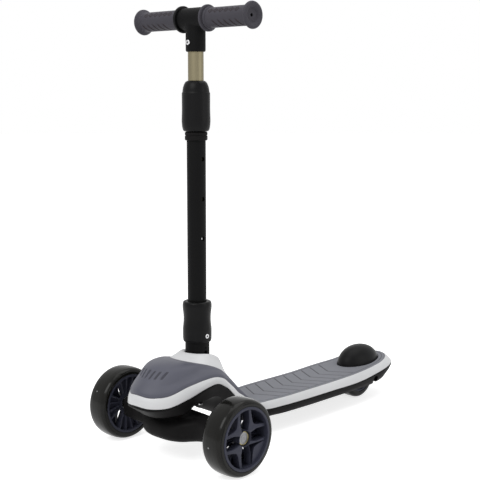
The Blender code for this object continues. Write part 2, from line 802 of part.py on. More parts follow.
def kingpin():
    top = FRAME_BOSS_START + FRAME_BOSS_LENGTH + GAP
    end = LOW_BUSH_TOP - LOW_BUSH_THICK - NUT_THICK - 0.0020
    profile = [(0, top + 0.005), (KING_HEAD, top + 0.005), (KING_HEAD, top), (KING_RADIUS, top),
               (KING_RADIUS, end), (0, end)]
    own(turned("kingpin", profile, SMALL, ring=False), STEEL, "scooter", KING, KING_AXIS)
    nut_top = LOW_BUSH_TOP - LOW_BUSH_THICK - 2 * GAP
    nut = pipe("kingpin_nut", 0.0085, KING_RADIUS + GAP, nut_top - NUT_THICK, nut_top, 12)
    own(nut, STEEL, "scooter", KING, KING_AXIS)


def fold_pin():
    end = LUG_HALF + RUNNING + CHEEK_THICK + GAP
    profile = [(0, end + 0.0015), (0.006, end + 0.0015), (0.006, end), (FOLD_PIN_RADIUS, end),
               (FOLD_PIN_RADIUS, -end - 0.0010), (0, -end - 0.0010)]
    own(turned("fold_pin", profile, SMALL, ring=False), STEEL, "scooter", FOLD, ACROSS)


# Base, shells and what fastens them

RIB_THICK = 0.0060
RIB_BOTTOM = 0.0335
RIB_TOP = 0.0520
RIB_AHEAD = 0.022
RIB_BEHIND = 0.018
EAR_TOP = 0.0575
WELL_BOTTOM = 0.020
WELL_TOP = 0.062
NOTCH_RADIUS = 0.0075
RIB_X = REAR_HALF + WELL_SIDE
EAR_X = RIB_X
EAR_THICK = 0.0045
LUG_SPACE = 0.0003


def base_parts():
    tub = base_tub()
    own(tub, BLACK, "scooter")
    for k, (x, y) in enumerate(POSTS):
        for side, word in SIDES:
            post = rod("post_%d_%s" % (k, word), POST_RADIUS, post_foot(k), FRAME_PLATE_Z - GAP, 8)
            join(tub, tool(post, "scooter", (side * x, y, 0)))
    well_x, well_y = RIB_X, REAR_WELL_Y
    well = box("wheel_well", (-well_x, WHEELBASE - well_y, WELL_BOTTOM),
               (well_x, WHEELBASE + well_y, WELL_TOP))
    for side, word in SIDES:
        near, far = sorted((side * RIB_X, side * (RIB_X + RIB_THICK)))
        rib = box("axle_rib_" + word, (near, WHEELBASE - RIB_AHEAD, RIB_BOTTOM),
                  (far, WHEELBASE + RIB_BEHIND, RIB_TOP))
        join(tub, tool(rib, "scooter"))
        near, far = sorted((side * EAR_X, side * (EAR_X + EAR_THICK)))
        ear = box("brake_ear_" + word, (near, BRAKE_PIN_Y - 0.0070, RIB_BOTTOM + 0.0005),
                  (far, BRAKE_PIN_Y + 0.0045, EAR_TOP))
        join(tub, tool(ear, "scooter"))
    cut(tub, tool(well, "scooter"))
    axle = rod("axle_bore", BOLT_RADIUS + GAP, -0.06, 0.06, SMALL)
    cut(tub, tool(axle, "scooter", REAR, ACROSS))
    for side, word in SIDES:
        notch = rod("axle_notch_" + word, NOTCH_RADIUS, RIB_X + RIB_THICK, 0.070, SMALL)
        cut(tub, tool(notch, "scooter", REAR, ACROSS * side))
    pin = rod("brake_pin_bore", BRAKE_PIN_RADIUS + GAP, -0.03, 0.03, SMALL)
    cut(tub, tool(pin, "scooter", BRAKE_PIN, ACROSS))
    for k, (x, y) in enumerate(POSTS):
        for side, word in SIDES:
            drill = rod("post_drill_%d_%s" % (k, word), POST_HOLE, 0.03, 0.12, 8)
            cut(tub, tool(drill, "scooter", (side * x, y, 0)))
            screw = screw_shape("frame_screw_%d_%s" % (k + 1, word), k)
            own(screw, STEEL, "scooter", (side * x, y, 0))


def post_foot(k):
    return (0.0860, 0.0625)[k]


def screw_shape(name, k):
    """A pan head screw from below, through the post and into the head frame."""
    seat, end = post_foot(k) - GAP, FRAME_PLATE_Z + FRAME_PLATE_THICK - 0.0005
    shank = POST_HOLE - GAP
    low = seat - 0.0020
    profile = [(0, end), (shank, end), (shank, seat), (0.0035, seat), (0.0035, low), (0, low)]
    return turned(name, profile, 8, ring=False)


def brake_opening(name, fit):
    """The oval opening that the brake's dome dips into."""
    half_x, half_y = DOME_HALF_X + fit, DOME_HALF_Y + fit
    points = []
    for k in range(28):
        t = 2 * math.pi * k / 28
        points.append((half_x * math.sin(t), half_y * math.cos(t)))
    return tool(outline_plate(name, [points], 0.04), "scooter", (0, DOME_Y, DOME_BASE_Z))


def shells():
    shell = own(white_shell(), WHITE, "scooter")
    cut(shell, brake_opening("shell_opening", 3 * DOME_FIT))
    own(head_cover(), GREY, "scooter")
    mat = own(deck_mat(), MAT_GREY, "scooter")
    cut(mat, brake_opening("mat_opening", DOME_FIT))


# Rear wheel and foot brake

def rear_wheel():
    half = REAR_HALF
    r, b = REAR_RADIUS, REAR_BORE
    tread = [(b, half), (r - 0.005, half), (r - 0.0015, half - 0.0022), (r, half - 0.006),
             (r, 0.006 - half), (r - 0.0015, 0.0022 - half), (r - 0.005, -half), (b, -half),
             (b, -TYRE_RIB_HALF - GAP), (b + TYRE_RIB, 0), (b, TYRE_RIB_HALF + GAP)]
    own(turned("rear_tyre", tread, ROUND), TYRE, "rear_wheel_axis", REAR, ACROSS)
    rim = b - GAP
    seat = REAR_BEARING - 0.0005
    face = REAR_BEARING + BEARING_WIDTH - 0.001
    low = BEARING_RADIUS + GAP
    hub = [(rim, half - 0.0005), (rim, TYRE_RIB_HALF), (rim + TYRE_RIB, 0),
           (rim, -TYRE_RIB_HALF), (rim, 0.0005 - half),
           (rim - 0.003, 0.0005 - half), (rim - 0.004, -0.008), (BOSS_RADIUS + 0.001, -0.008),
           (BOSS_RADIUS, -face), (low, -face),
           (low, -seat), (SHOULDER_RADIUS, -seat), (SHOULDER_RADIUS, seat), (low, seat),
           (low, face), (BOSS_RADIUS, face),
           (BOSS_RADIUS + 0.001, 0.008), (rim - 0.004, 0.008), (rim - 0.003, half - 0.0005)]
    own(turned("rear_hub", hub, ROUND), HUB, "rear_wheel_axis", REAR, ACROSS)
    for side, word in SIDES:
        middle = REAR + ACROSS * side * (REAR_BEARING + BEARING_WIDTH / 2)
        bearing("rear_bearing_" + word, "rear_wheel_axis", middle)
    end = RIB_X + RIB_THICK + GAP
    profile = [(0, end + BOLT_HEAD_THICK), (BOLT_HEAD, end + BOLT_HEAD_THICK), (BOLT_HEAD, end),
               (BOLT_RADIUS, end), (BOLT_RADIUS, -end), (0.0030, -end), (0.0030, -end - 0.006),
               (0, -end - 0.006)]
    own(turned("rear_axle", profile, SMALL, ring=False), STEEL, "scooter", REAR, ACROSS)
    nut = pipe("rear_axle_nut", BOLT_HEAD, 0.0030 + GAP, -end - GAP - 0.0045, -end - GAP, 12)
    own(nut, STEEL, "scooter", REAR, ACROSS)


def bearing(name, parent, at):
    half = BEARING_WIDTH / 2
    own(pipe(name, BEARING_RADIUS, BOLT_RADIUS + RUNNING, -half, half, SMALL), STEEL, parent, at, ACROSS)


def brake():
    """The dome that the heel presses down, with its hinge lugs and its rubbing pad."""
    rows = []
    rings, turns = 6, 16
    for i in range(rings + 1):
        t = math.radians(90 * i / rings)
        row = []
        for k in range(turns // 2 + 1):
            a = math.pi * k / (turns // 2)
            row.append(dome_point(t, a))
        rows.append(row)
    dome = sheet("brake_fender", [list(reversed(row)) for row in rows])
    weld = dome.modifiers.new("pole", "WELD")
    weld.merge_threshold = 0.00001
    mirror_x(dome)
    thicken(dome, DOME_WALL)
    own(dome, SOFT_BLACK, "brake_axis", BRAKE_PIN)
    cut(dome, tool(wheel_room(), "brake_axis", REAR, ACROSS))
    middle = EAR_X - LUG_SPACE - LUG_THICK / 2
    for side, word in SIDES:
        lug = outline_plate("brake_lug_" + word, [lug_outline()], LUG_THICK)
        tool(lug, "brake_axis", BRAKE_PIN + ACROSS * side * middle, ACROSS)
        join(dome, lug)
    pad_low = REAR_RADIUS + PAD_CLEAR
    pad = [(y * MM, dome_inside(y * MM)) for y in (-11, -6, -1, 4, 9)]
    foot = arc((0, 0), pad_low, 77, 105, 4)
    pad_plate = outline_plate("brake_pad_form", [foot + pad], 2 * PAD_HALF)
    tool(pad_plate, "brake_axis", REAR, ACROSS)
    join(dome, pad_plate)
    bore = rod("brake_lug_bore", BRAKE_PIN_RADIUS + RUNNING, -0.02, 0.02, SMALL)
    cut(dome, tool(bore, "brake_axis", BRAKE_PIN, ACROSS))
    pin_end = EAR_X + EAR_THICK
    own(rod("brake_pin", BRAKE_PIN_RADIUS, -pin_end, pin_end, 12), STEEL, "scooter", BRAKE_PIN, ACROSS)
    own(torsion_coil(), SPRING_STEEL, "scooter", BRAKE_PIN)


def wheel_room():
    """What the rear wheel sweeps, seen from the dome, as the dome is pressed down."""
    travel = Matrix.Rotation(PRESS, 3, "X") @ (REAR - BRAKE_PIN) - (REAR - BRAKE_PIN)
    lean = math.degrees(math.atan2(travel.z, travel.y))
    radius = REAR_RADIUS + DOME_CLEAR
    outline = arc((0, 0), radius, lean + 90, lean + 270, 24)
    outline += arc((travel.y, travel.z), radius, lean - 90, lean + 90, 24)
    return outline_plate("wheel_room", [outline], 2 * (REAR_HALF + DOME_SIDE))


def dome_point(t, a):
    """A point of the dome, measured from the brake pin; t climbs from the rim to the top."""
    width = math.cos(t) ** 0.92
    rise = math.sin(t) ** 1.05
    x = DOME_HALF_X * width * math.sin(a)
    y = DOME_Y - DOME_HALF_Y * width * math.cos(a)
    lean = (y - DOME_Y) * 0.05 * (1 - rise)
    z = DOME_BASE_Z + DOME_HEIGHT * rise + lean
    if abs(x) < 1e-6 or t > math.radians(89.9):
        x = 0.0
    return Vector((x, y, z)) - BRAKE_PIN


def dome_inside(y):
    """Height above the rear axle at which the brake pad ends within the dome's wall."""
    share = (y + WHEELBASE - DOME_Y) / DOME_HALF_Y
    top = DOME_BASE_Z + DOME_HEIGHT * math.sqrt(1 - share * share)
    return top - DOME_WALL * 0.8 - REAR_RADIUS


def lug_outline():
    """Side view of a hinge lug: round at the pin, back under the shell, then up into the dome."""
    back = DOME_Y - DOME_HALF_Y * 0.755 - BRAKE_PIN_Y
    rise = DOME_BASE_Z - BRAKE_PIN_Z
    arm = [(back - 0.004, -0.0030), (back + 0.0090, 0.0030), (back + 0.0110, rise + 0.0060),
           (back + 0.0030, rise + 0.0040), (back + 0.0010, 0.0040)]
    return arc((0, 0), 0.0046, 95, 265, 8) + arm


def torsion_coil():
    turns, radius, wire, half = 3, 0.0036, 0.0005, 0.0030
    path = []
    for k in range(turns * 8 + 1):
        a = 2 * math.pi * k / 8
        path.append((half * (2 * k / (turns * 8) - 1), radius * math.cos(a), radius * math.sin(a)))
    return wire_mesh("brake_spring", path, wire)


def wire_mesh(name, path, radius):
    curve = bpy.data.curves.new(name + "_path", "CURVE")
    curve.dimensions = "3D"
    curve.bevel_depth = radius
    curve.bevel_resolution = 1
    curve.use_fill_caps = True
    line = curve.splines.new("POLY")
    line.points.add(len(path) - 1)
    for k, point in enumerate(path):
        line.points[k].co = (*point, 1)
    return to_mesh(bpy.data.objects.new(name + "_path", curve), name)


# Steering truck and front wheels

# Each section: x, middle y, middle z, half depth, half height, roundness.  In millimetres.
TRUCK_SECTIONS = ((0, -2, 51, 46, 20.5, 2.5), (20, -2, 51, 44.5, 20.2, 2.5),
                  (36, -1.5, 52, 39, 19.8, 2.6), (50, -0.5, 54.3, 28.5, 19.4, 2.8),
                  (64, 0, 56.6, 21.5, 19.2, 3.0), (85, 0, 57.6, 19.5, 19, 3.3),
                  (111, 0, 58.2, 18, 18.2, 3.3))
TRUCK_SIDES = 22


def truck():
    """Bowl under the skirt and two arms, lofted from the middle out to the wheels."""
    rows = []
    for x, yc, zc, hy, hz, power in TRUCK_SECTIONS:
        row = []
        for k in range(TRUCK_SIDES):
            a = 2 * math.pi * k / TRUCK_SIDES
            c, s = math.cos(a), math.sin(a)
            y = yc + hy * math.copysign(abs(c) ** (2 / power), c)
            z = zc + hz * math.copysign(abs(s) ** (2 / power), s)
            row.append(Vector((x / 111 * ARM_END, y * MM, z * MM)) - KING)
        rows.append(row + row[:1])
    body = sheet("steering_truck", rows)
    close_end(body, TRUCK_SIDES)
    mirror_x(body)
    own(body, BLACK, "truck_axis", KING)
    for side, word in SIDES:
        tip = TRACK_HALF + FRONT_BEARING_INNER - GAP
        boss = rod("axle_boss_" + word, ARM_BOSS_RADIUS, ARM_END - 0.006, tip, SMALL)
        join(body, tool(boss, "truck_axis", (0, 0, FRONT_RADIUS), ACROSS * side))
        bore = rod("bolt_bore_" + word, BOLT_RADIUS + GAP, ARM_END - AXLE_GRIP, ARM_END + 0.03, SMALL)
        cut(body, tool(bore, "truck_axis", (0, 0, FRONT_RADIUS), ACROSS * side))
    seat = rod("bush_pocket", 0.0170, BUSH_BOTTOM, 0.05, ROUND)
    cut(body, tool(seat, "truck_axis", KING, KING_AXIS))
    under = rod("nut_pocket", 0.0125, -0.05, LOW_BUSH_TOP, ROUND)
    cut(body, tool(under, "truck_axis", KING, KING_AXIS))
    through = rod("truck_bore", KING_RADIUS + RUNNING, -0.05, 0.05, SMALL)
    cut(body, tool(through, "truck_axis", KING, KING_AXIS))
    upper = pipe("truck_bushing_upper", BUSH_RADIUS, KING_RADIUS + RUNNING, BUSH_BOTTOM + GAP,
                 BUSH_BOTTOM + GAP + BUSH_THICK, ROUND)
    own(upper, BUSHING, "truck_axis", KING, KING_AXIS)
    high = LOW_BUSH_TOP - GAP
    lower = pipe("truck_bushing_lower", 0.0110, KING_RADIUS + RUNNING, high - LOW_BUSH_THICK, high, SMALL)
    own(lower, BUSHING, "truck_axis", KING, KING_AXIS)


def close_end(obj, count):
    """Weld the loft's seam and close its outer end."""
    shape = bmesh.new()
    shape.from_mesh(obj.data)
    bmesh.ops.remove_doubles(shape, verts=shape.verts, dist=0.000005)
    edge = max(v.co.x for v in shape.verts)
    rim = [e for e in shape.edges if e.is_boundary and all(abs(v.co.x - edge) < 1e-6 for v in e.verts)]
    assert len(rim) == count
    bmesh.ops.edgeloop_fill(shape, edges=rim)
    bmesh.ops.recalc_face_normals(shape, faces=shape.faces)
    shape.to_mesh(obj.data)
    shape.free()


def window_outlines():
    """See-through windows of one spoked web: four inside the pairs and four between them."""
    rim = TYRE_BORE - GAP - HUB_WALL + 0.0008
    half = math.degrees(SPOKE_WIDTH / 2 / rim)
    inner = [(SPOKE_FORK + 0.004, 0.0)]
    inner += arc((0, 0), rim, -(SPOKE_SPREAD - half), SPOKE_SPREAD - half, 4)
    knee = turn([(0.0300, 0)], -12.5)[0]
    fork = [inner[0], knee] + inner[1:] + [(knee[0], -knee[1])]
    outer_knee = turn([(0.0262, 0)], 23)[0]
    root = turn([(BOSS_RADIUS - 0.0003, 0)], 15)[0]
    side = [root, outer_knee]
    mirrored = [turn([(x, -y)], 90)[0] for x, y in side]
    gap = side + arc((0, 0), rim, SPOKE_SPREAD + half, 90 - SPOKE_SPREAD - half, 4)
    gap += list(reversed(mirrored))
    gap += arc((0, 0), BOSS_RADIUS - 0.0003, 75, 15, 3)[1:-1]
    return fork, gap


def web(name, thick, turned_by):
    fork, gap = window_outlines()
    outlines = [arc((0, 0), TYRE_BORE - GAP - HUB_WALL / 2, 0, 345, 23),
                arc((0, 0), BOSS_RADIUS - 0.0010, 0, 337.5, 15)]
    for k in range(4):
        outlines.append(turn(fork, 90 * k + turned_by))
        outlines.append(turn(gap, 90 * k + turned_by))
    return outline_plate(name, outlines, thick)


def hub_mesh():
    """Barrel, boss and two spoked webs as one solid, drawn along its own Z."""
    rim = TYRE_BORE - GAP
    wall = rim - HUB_WALL
    back = -(TYRE_HALF - 0.0008)
    barrel = [(rim, HUB_FACE), (rim, TYRE_RIB_HALF), (rim + TYRE_RIB, 0), (rim, -TYRE_RIB_HALF),
              (rim, back), (wall, back), (wall, HUB_FACE)]
    low = BEARING_RADIUS + GAP
    seat_out, seat_in = FRONT_BEARING_OUTER - GAP, FRONT_BEARING_INNER + BEARING_WIDTH + GAP
    end = FRONT_BEARING_INNER
    boss = [(BOSS_RADIUS, BOSS_FACE), (BOSS_RADIUS, end), (low, end), (low, seat_in),
            (SHOULDER_RADIUS, seat_in), (SHOULDER_RADIUS, seat_out), (low, seat_out), (low, BOSS_FACE)]
    return turned("hub_barrel", barrel, WHEEL_STEPS), turned("hub_boss", boss, SMALL)


def front_wheels():
    width = WEB_FAR - WEB_NEAR
    for side, word in SIDES:
        parent = "wheel_axis_" + word
        centre = Vector((side * TRACK_HALF, 0, FRONT_RADIUS))
        out = ACROSS * side
        h, b, r = TYRE_HALF, TYRE_BORE, FRONT_RADIUS
        half = [(b, h), (b + 0.0026, h), (r - 0.0045, h - 0.0012), (r - 0.0017, h - 0.0048),
                (r - 0.0004, h - 0.0108), (r, 0)]
        groove = [(b, -TYRE_RIB_HALF - GAP), (b + TYRE_RIB, 0), (b, TYRE_RIB_HALF + GAP)]
        tread = half + [(q, -z) for q, z in reversed(half[:-1])] + groove
        own(turned("front_tyre_" + word, tread, WHEEL_STEPS), TYRE, parent, centre, out)
        barrel, boss = hub_mesh()
        barrel.name = "front_hub_" + word
        own(barrel, HUB, parent, centre, out)
        middle = centre + out * (WEB_NEAR + width / 2)
        join(barrel, tool(web("web_" + word, width, SPOKE_START), parent, middle, out))
        boss.name = "hub_boss_" + word
        join(barrel, tool(boss, parent, centre, out))
        for name, start in (("outer", FRONT_BEARING_OUTER), ("inner", FRONT_BEARING_INNER)):
            middle = centre + out * (start + BEARING_WIDTH / 2)
            bearing("bearing_%s_%s" % (name, word), parent, middle)
        # The cap stands on the outer bearing and closes over the bolt's head
        seat = FRONT_BEARING_OUTER + BEARING_WIDTH + GAP
        ceiling = seat + BOLT_HEAD_THICK + GAP
        room, rim = BOLT_HEAD + 2 * GAP, BEARING_RADIUS - GAP
        cap = [(0, ceiling + CAP_THICK), (room, ceiling + 0.85 * CAP_THICK),
               (rim - 0.0008, ceiling + 0.4 * CAP_THICK), (rim, ceiling - 0.0002), (rim, seat),
               (room, seat), (room, ceiling), (0, ceiling)]
        own(turned("wheel_cap_" + word, cap, SMALL, ring=False), STEEL, parent, centre, out)
        head = seat + BOLT_HEAD_THICK
        tip = ARM_END - AXLE_GRIP + GAP - TRACK_HALF
        bolt = [(0, head), (BOLT_HEAD, head), (BOLT_HEAD, seat), (BOLT_RADIUS, seat),
                (BOLT_RADIUS, tip), (0, tip)]
        own(turned("axle_bolt_" + word, bolt, SMALL, ring=False), STEEL, "truck_axis", centre, out)


# Stem: neck, lock, collar and tubes

def neck():
    body = turned("neck", [(0, NECK_TOP), (NECK_RADIUS, NECK_TOP), (NECK_RADIUS, NECK_BOTTOM + 0.003),
                           (NECK_RADIUS - 0.003, NECK_BOTTOM), (0, NECK_BOTTOM)], ROUND, ring=False)
    own(body, PAINTED, "stem_axis", stem_at(0))
    outline = arc((0, 0), LUG_RADIUS, 180, 360, 12) + [(LUG_RADIUS, 0.030), (-LUG_RADIUS, 0.030)]
    lug = outline_plate("neck_lug", [outline], 2 * LUG_HALF)
    tool(lug, "stem_axis", FOLD, ACROSS)
    join(body, lug)
    pin_bore = rod("neck_pin_bore", FOLD_PIN_RADIUS + RUNNING, -0.03, 0.03, SMALL)
    cut(body, tool(pin_bore, "stem_axis", FOLD, ACROSS))
    socket = rod("tube_socket", TUBE_RADIUS + GAP, TUBE_BOTTOM - GAP, COLLAR_TOP, ROUND)
    cut(body, tool(socket, "stem_axis", stem_at(0)))
    rod_hole = rod("lock_rod_bore", LOCK_ROD_RADIUS + RUNNING, LOCK_PIN_Z - 0.007, NECK_TOP, SMALL)
    cut(body, tool(rod_hole, "stem_axis", stem_at(0)))
    slot = outline_plate("lock_pin_slot", [slot_outline(LOCK_PIN_RADIUS + GAP, LOCK_TRAVEL + GAP)], 0.06)
    tool(slot, "stem_axis", stem_at(LOCK_PIN_Z), ACROSS)
    cut(body, slot)
    outline = slot_outline(COLLAR_SCREW_RADIUS + GAP, LOCK_TRAVEL + GAP)
    slot = outline_plate("collar_screw_slot", [outline], 0.022)
    tool(slot, "stem_axis", stem_at(COLLAR_SCREW_Z) + ACROSS * 0.011, ACROSS)
    cut(body, slot)
    screw_bore = rod("set_screw_bore", 0.0022, 0.0085, 0.03, SMALL)
    cut(body, tool(screw_bore, "stem_axis", stem_at(SET_SCREW_Z), ACROSS))
    screw = rod("neck_set_screw", 0.0019, 0.0088, NECK_RADIUS + 0.0004, 12)
    own(screw, STEEL, "stem_axis", stem_at(SET_SCREW_Z), ACROSS)


def slot_outline(radius, travel):
    """Side view of an upright slot: its lower end is round about the origin."""
    return arc((0, 0), radius, 180, 360, 8) + arc((0, travel), radius, 0, 180, 8)


def lock():
    """Rod, cross pin and screw move with the collar; the spring pushes them down."""
    plunger = rod("lock_rod", LOCK_ROD_RADIUS, LOCK_PIN_Z - 0.0062, LOCK_ROD_TOP, SMALL)
    own(plunger, STEEL, "collar_axis", stem_at(0))
    cross = rod("lock_rod_cross_bore", LOCK_PIN_RADIUS + GAP, -0.02, 0.02, SMALL)
    cut(plunger, tool(cross, "collar_axis", stem_at(LOCK_PIN_Z), ACROSS))
    tap = rod("lock_rod_screw_bore", COLLAR_SCREW_RADIUS + GAP, -0.0035, 0.02, SMALL)
    cut(plunger, tool(tap, "collar_axis", stem_at(COLLAR_SCREW_Z), ACROSS))
    pin_half = LUG_HALF + RUNNING + CHEEK_THICK
    pin = rod("lock_pin", LOCK_PIN_RADIUS, -pin_half, pin_half, SMALL)
    own(pin, STEEL, "collar_axis", stem_at(LOCK_PIN_Z), ACROSS)
    path, points = [], 6 * SPRING_TURNS
    low, high = LOCK_ROD_TOP + GAP + SPRING_WIRE, SPRING_TOP - GAP - SPRING_WIRE
    for k in range(points + 1):
        a = 2 * math.pi * k / 6
        z = low + (high - low) * k / points
        path.append((SPRING_RADIUS * math.cos(a), SPRING_RADIUS * math.sin(a), z))
    own(wire_mesh("lock_spring", path, SPRING_WIRE), SPRING_STEEL, "collar_axis", stem_at(0))
    stop = rod("spring_stop", TUBE_BORE - GAP, SPRING_TOP, SPRING_TOP + 0.006, ROUND)
    own(stop, CASTING, "stem_axis", stem_at(0))


def collar():
    low, high = COLLAR_BOTTOM, COLLAR_TOP
    bore, lip = NECK_RADIUS + RUNNING, TUBE_RADIUS + RUNNING
    ledge = NECK_TOP + GAP
    profile = [(lip + 0.0012, high), (lip + 0.0050, high - 0.0005), (0.0226, high - 0.0025),
               (0.0233, high - 0.0060), (0.0232, high - 0.0110), (0.0224, high - 0.0180),
               (0.0218, high - 0.0250), (0.0218, high - 0.0310), (0.0224, high - 0.0385),
               (0.0230, high - 0.0440), (0.0230, low + 0.0040), (0.0224, low + 0.0012), (0.0214, low),
               (bore + 0.0006, low), (bore, low + 0.0008), (bore, ledge), (lip, ledge),
               (lip, high - 0.0010)]
    body = turned("release_collar", profile)
    own(body, SOFT_BLACK, "collar_axis", stem_at(0))
    sink = rod("collar_screw_sink", COLLAR_SCREW_HEAD + GAP, 0.0209, 0.03, SMALL)
    cut(body, tool(sink, "collar_axis", stem_at(COLLAR_SCREW_Z), ACROSS))
    through = rod("collar_screw_hole", COLLAR_SCREW_RADIUS + GAP, 0.015, 0.03, SMALL)
    cut(body, tool(through, "collar_axis", stem_at(COLLAR_SCREW_Z), ACROSS))
    seat = 0.0209 + GAP
    profile = [(0, 0.0222), (0.0018, 0.0222), (0.0018, 0.0232), (COLLAR_SCREW_HEAD, 0.0232),
               (COLLAR_SCREW_HEAD, seat), (COLLAR_SCREW_RADIUS, seat),
               (COLLAR_SCREW_RADIUS, -0.0030), (0, -0.0030)]
    screw = turned("collar_screw", profile, SMALL, ring=False)
    own(screw, STEEL, "collar_axis", stem_at(COLLAR_SCREW_Z), ACROSS)


def lower_tube():
    tube = pipe("outer_tube", TUBE_RADIUS, TUBE_BORE, TUBE_BOTTOM, TUBE_TOP)
    own(tube, PAINTED, "stem_axis", stem_at(0))
    for k in range(HOLES):
        hole = rod("height_hole_%d" % k, HOLE_RADIUS, 0.005, 0.02, SMALL)
        cut(tube, tool(hole, "stem_axis", stem_at(HOLE_LOW + k * HOLE_STEP), ACROSS))
    bore = TUBE_RADIUS + GAP
    ring = [(0.0160, RING_TOP), (0.0177, RING_TOP - 0.0015), (0.0177, RING_TOP - 0.0050),
            (0.0169, RING_TOP - 0.0057), (0.0169, RING_TOP - 0.0062), (0.0178, RING_TOP - 0.0069),
            (0.0178, RING_BOTTOM + 0.0012), (0.0168, RING_BOTTOM), (bore, RING_BOTTOM), (bore, RING_TOP)]
    own(turned("thread_ring", ring), BLACK, "stem_axis", stem_at(0))
    low = TUBE_TOP + GAP
    collet = pipe("collet", COLLET_RADIUS, INNER_RADIUS + RUNNING, low, SLEEVE_TOP - 0.005)
    own(collet, BUSHING, "stem_axis", stem_at(0))


def clamp_sleeve():
    low, high, r = SLEEVE_BOTTOM, SLEEVE_TOP, SLEEVE_RADIUS
    bore = TUBE_RADIUS + RUNNING
    top = high - 0.005 + GAP
    profile = [(INNER_RADIUS + 0.0012, high), (0.0152, high - 0.0014), (r - 0.0040, high - 0.0060),
               (r - 0.0018, high - 0.0113), (r - 0.0010, high - 0.0170), (r, high - 0.0190),
               (r, low + 0.0090), (r - 0.0007, low + 0.0050), (r - 0.0018, low + 0.0020),
               (r - 0.0040, low),
               (bore, low), (bore, TUBE_TOP - 0.002), (COLLET_RADIUS + RUNNING, TUBE_TOP - 0.002),
               (COLLET_RADIUS + RUNNING, top), (INNER_RADIUS + RUNNING, top),
               (INNER_RADIUS + RUNNING, high - 0.001)]
    own(turned("lock_sleeve", profile), SOFT_BLACK, "sleeve_axis", stem_at(0))


def upper_stem():
    tube = pipe("inner_tube", INNER_RADIUS, INNER_BORE, INNER_BOTTOM, INNER_TOP)
    own(tube, GOLD, "bar_axis", stem_at(0))
    hole = rod("button_hole", HOLE_RADIUS, 0.005, 0.02, SMALL)
    cut(tube, tool(hole, "bar_axis", stem_at(HOLE_LOW), ACROSS))
    tap = rod("tee_screw_tap", 0.0024, 0.005, 0.02, SMALL)
    cut(tube, tool(tap, "bar_axis", stem_at(TEE_SCREW_Z), (0, -1, 0)))
    socket = INNER_RADIUS + GAP
    tee = turned("handlebar_tee", [(0, BAR_Z), (TEE_RADIUS, BAR_Z), (TEE_RADIUS, TEE_BOTTOM + 0.002),
                                   (TEE_RADIUS - 0.002, TEE_BOTTOM), (0, TEE_BOTTOM)], ROUND, ring=False)
    own(tee, PAINTED, "bar_axis", stem_at(0))
    end = BARREL_HALF
    r = BARREL_RADIUS
    profile = [(0, end), (r - 0.001, end), (r, end - 0.001),
               (r, 0.001 - end), (r - 0.001, -end), (0, -end)]
    barrel = turned("tee_barrel", profile, ROUND, ring=False)
    join(tee, tool(barrel, "bar_axis", stem_at(BAR_Z), ACROSS))
    bore = rod("tee_socket", socket, TEE_BOTTOM - 0.01, INNER_TOP + GAP, ROUND)
    cut(tee, tool(bore, "bar_axis", stem_at(0)))
    bore = rod("tee_bar_bore", BAR_RADIUS + GAP, -0.04, 0.04, ROUND)
    cut(tee, tool(bore, "bar_axis", stem_at(BAR_Z), ACROSS))
    bore = rod("tee_screw_bore", 0.0024, 0.01, 0.03, SMALL)
    cut(tee, tool(bore, "bar_axis", stem_at(TEE_SCREW_Z), (0, -1, 0)))
    face = TEE_RADIUS + GAP
    screw = [(0, face + 0.0008), (0.0016, face + 0.0008), (0.0016, face + 0.0022),
             (0.0037, face + 0.0022), (0.0040, face), (0.0021, face), (0.0021, 0.0105), (0, 0.0105)]
    screw = turned("tee_screw", screw, SMALL, ring=False)
    own(screw, STEEL, "bar_axis", stem_at(TEE_SCREW_Z), (0, -1, 0))
    bar = pipe("crossbar", BAR_RADIUS, BAR_BORE, -BAR_HALF, BAR_HALF)
    own(bar, STEEL, "bar_axis", stem_at(BAR_Z), ACROSS)


def grips():
    bore = BAR_RADIUS + GAP
    e, f, r = GRIP_END, FLANGE_RADIUS, GRIP_RADIUS
    stop = BAR_HALF + GAP
    bowl = e - GRIP_DISH
    outer = [(0.0025, bowl), (0.0095, bowl), (0.0125, e - 0.0016), (f - 0.0050, e),
             (f - 0.0012, e - 0.0006), (f, e - 0.0020),
             (f, e - FLANGE_THICK + 0.001), (f - 0.0015, e - FLANGE_THICK),
             (r + 0.0004, e - FLANGE_THICK - 0.002)]
    start = BARREL_HALF + GAP
    ridge = [(0.0172, start + 0.0098), (0.0172, start + 0.0070), (r, start + 0.0058),
             (r, start + 0.0048), (0.0204, start + 0.0042), (0.0204, start + 0.0006), (0.0196, start)]
    plain_start = start + SPACER_THICK + GAP
    plain = [(r, start + 0.0108), (r, plain_start + 0.0008), (r - 0.0008, plain_start)]
    inside = stop
    for side, word in SIDES:
        body = [(r, 0.075)] + ([(r, start + 0.0108)] + ridge if side == LEFT else plain)
        low = start if side == LEFT else plain_start
        profile = outer + body + [(bore, low), (bore, inside), (0.0025, inside)]
        own(turned("grip_" + word, profile), GRIP, "bar_axis", stem_at(BAR_Z), ACROSS * side)
    ring = pipe("spacer_ring", 0.0208, bore, start, start + SPACER_THICK)
    own(ring, SOFT_BLACK, "bar_axis", stem_at(BAR_Z), ACROSS * RIGHT)


def strip(path, thick):
    """Outline of a bent strip: the path and a copy of it set off to its left."""
    beside = []
    for k, point in enumerate(path):
        before, after = Vector(path[max(k - 1, 0)]), Vector(path[min(k + 1, len(path) - 1)])
        along = (after - before).normalized()
        beside.append((point[0] - along.y * thick, point[1] + along.x * thick))
    return path + list(reversed(beside))


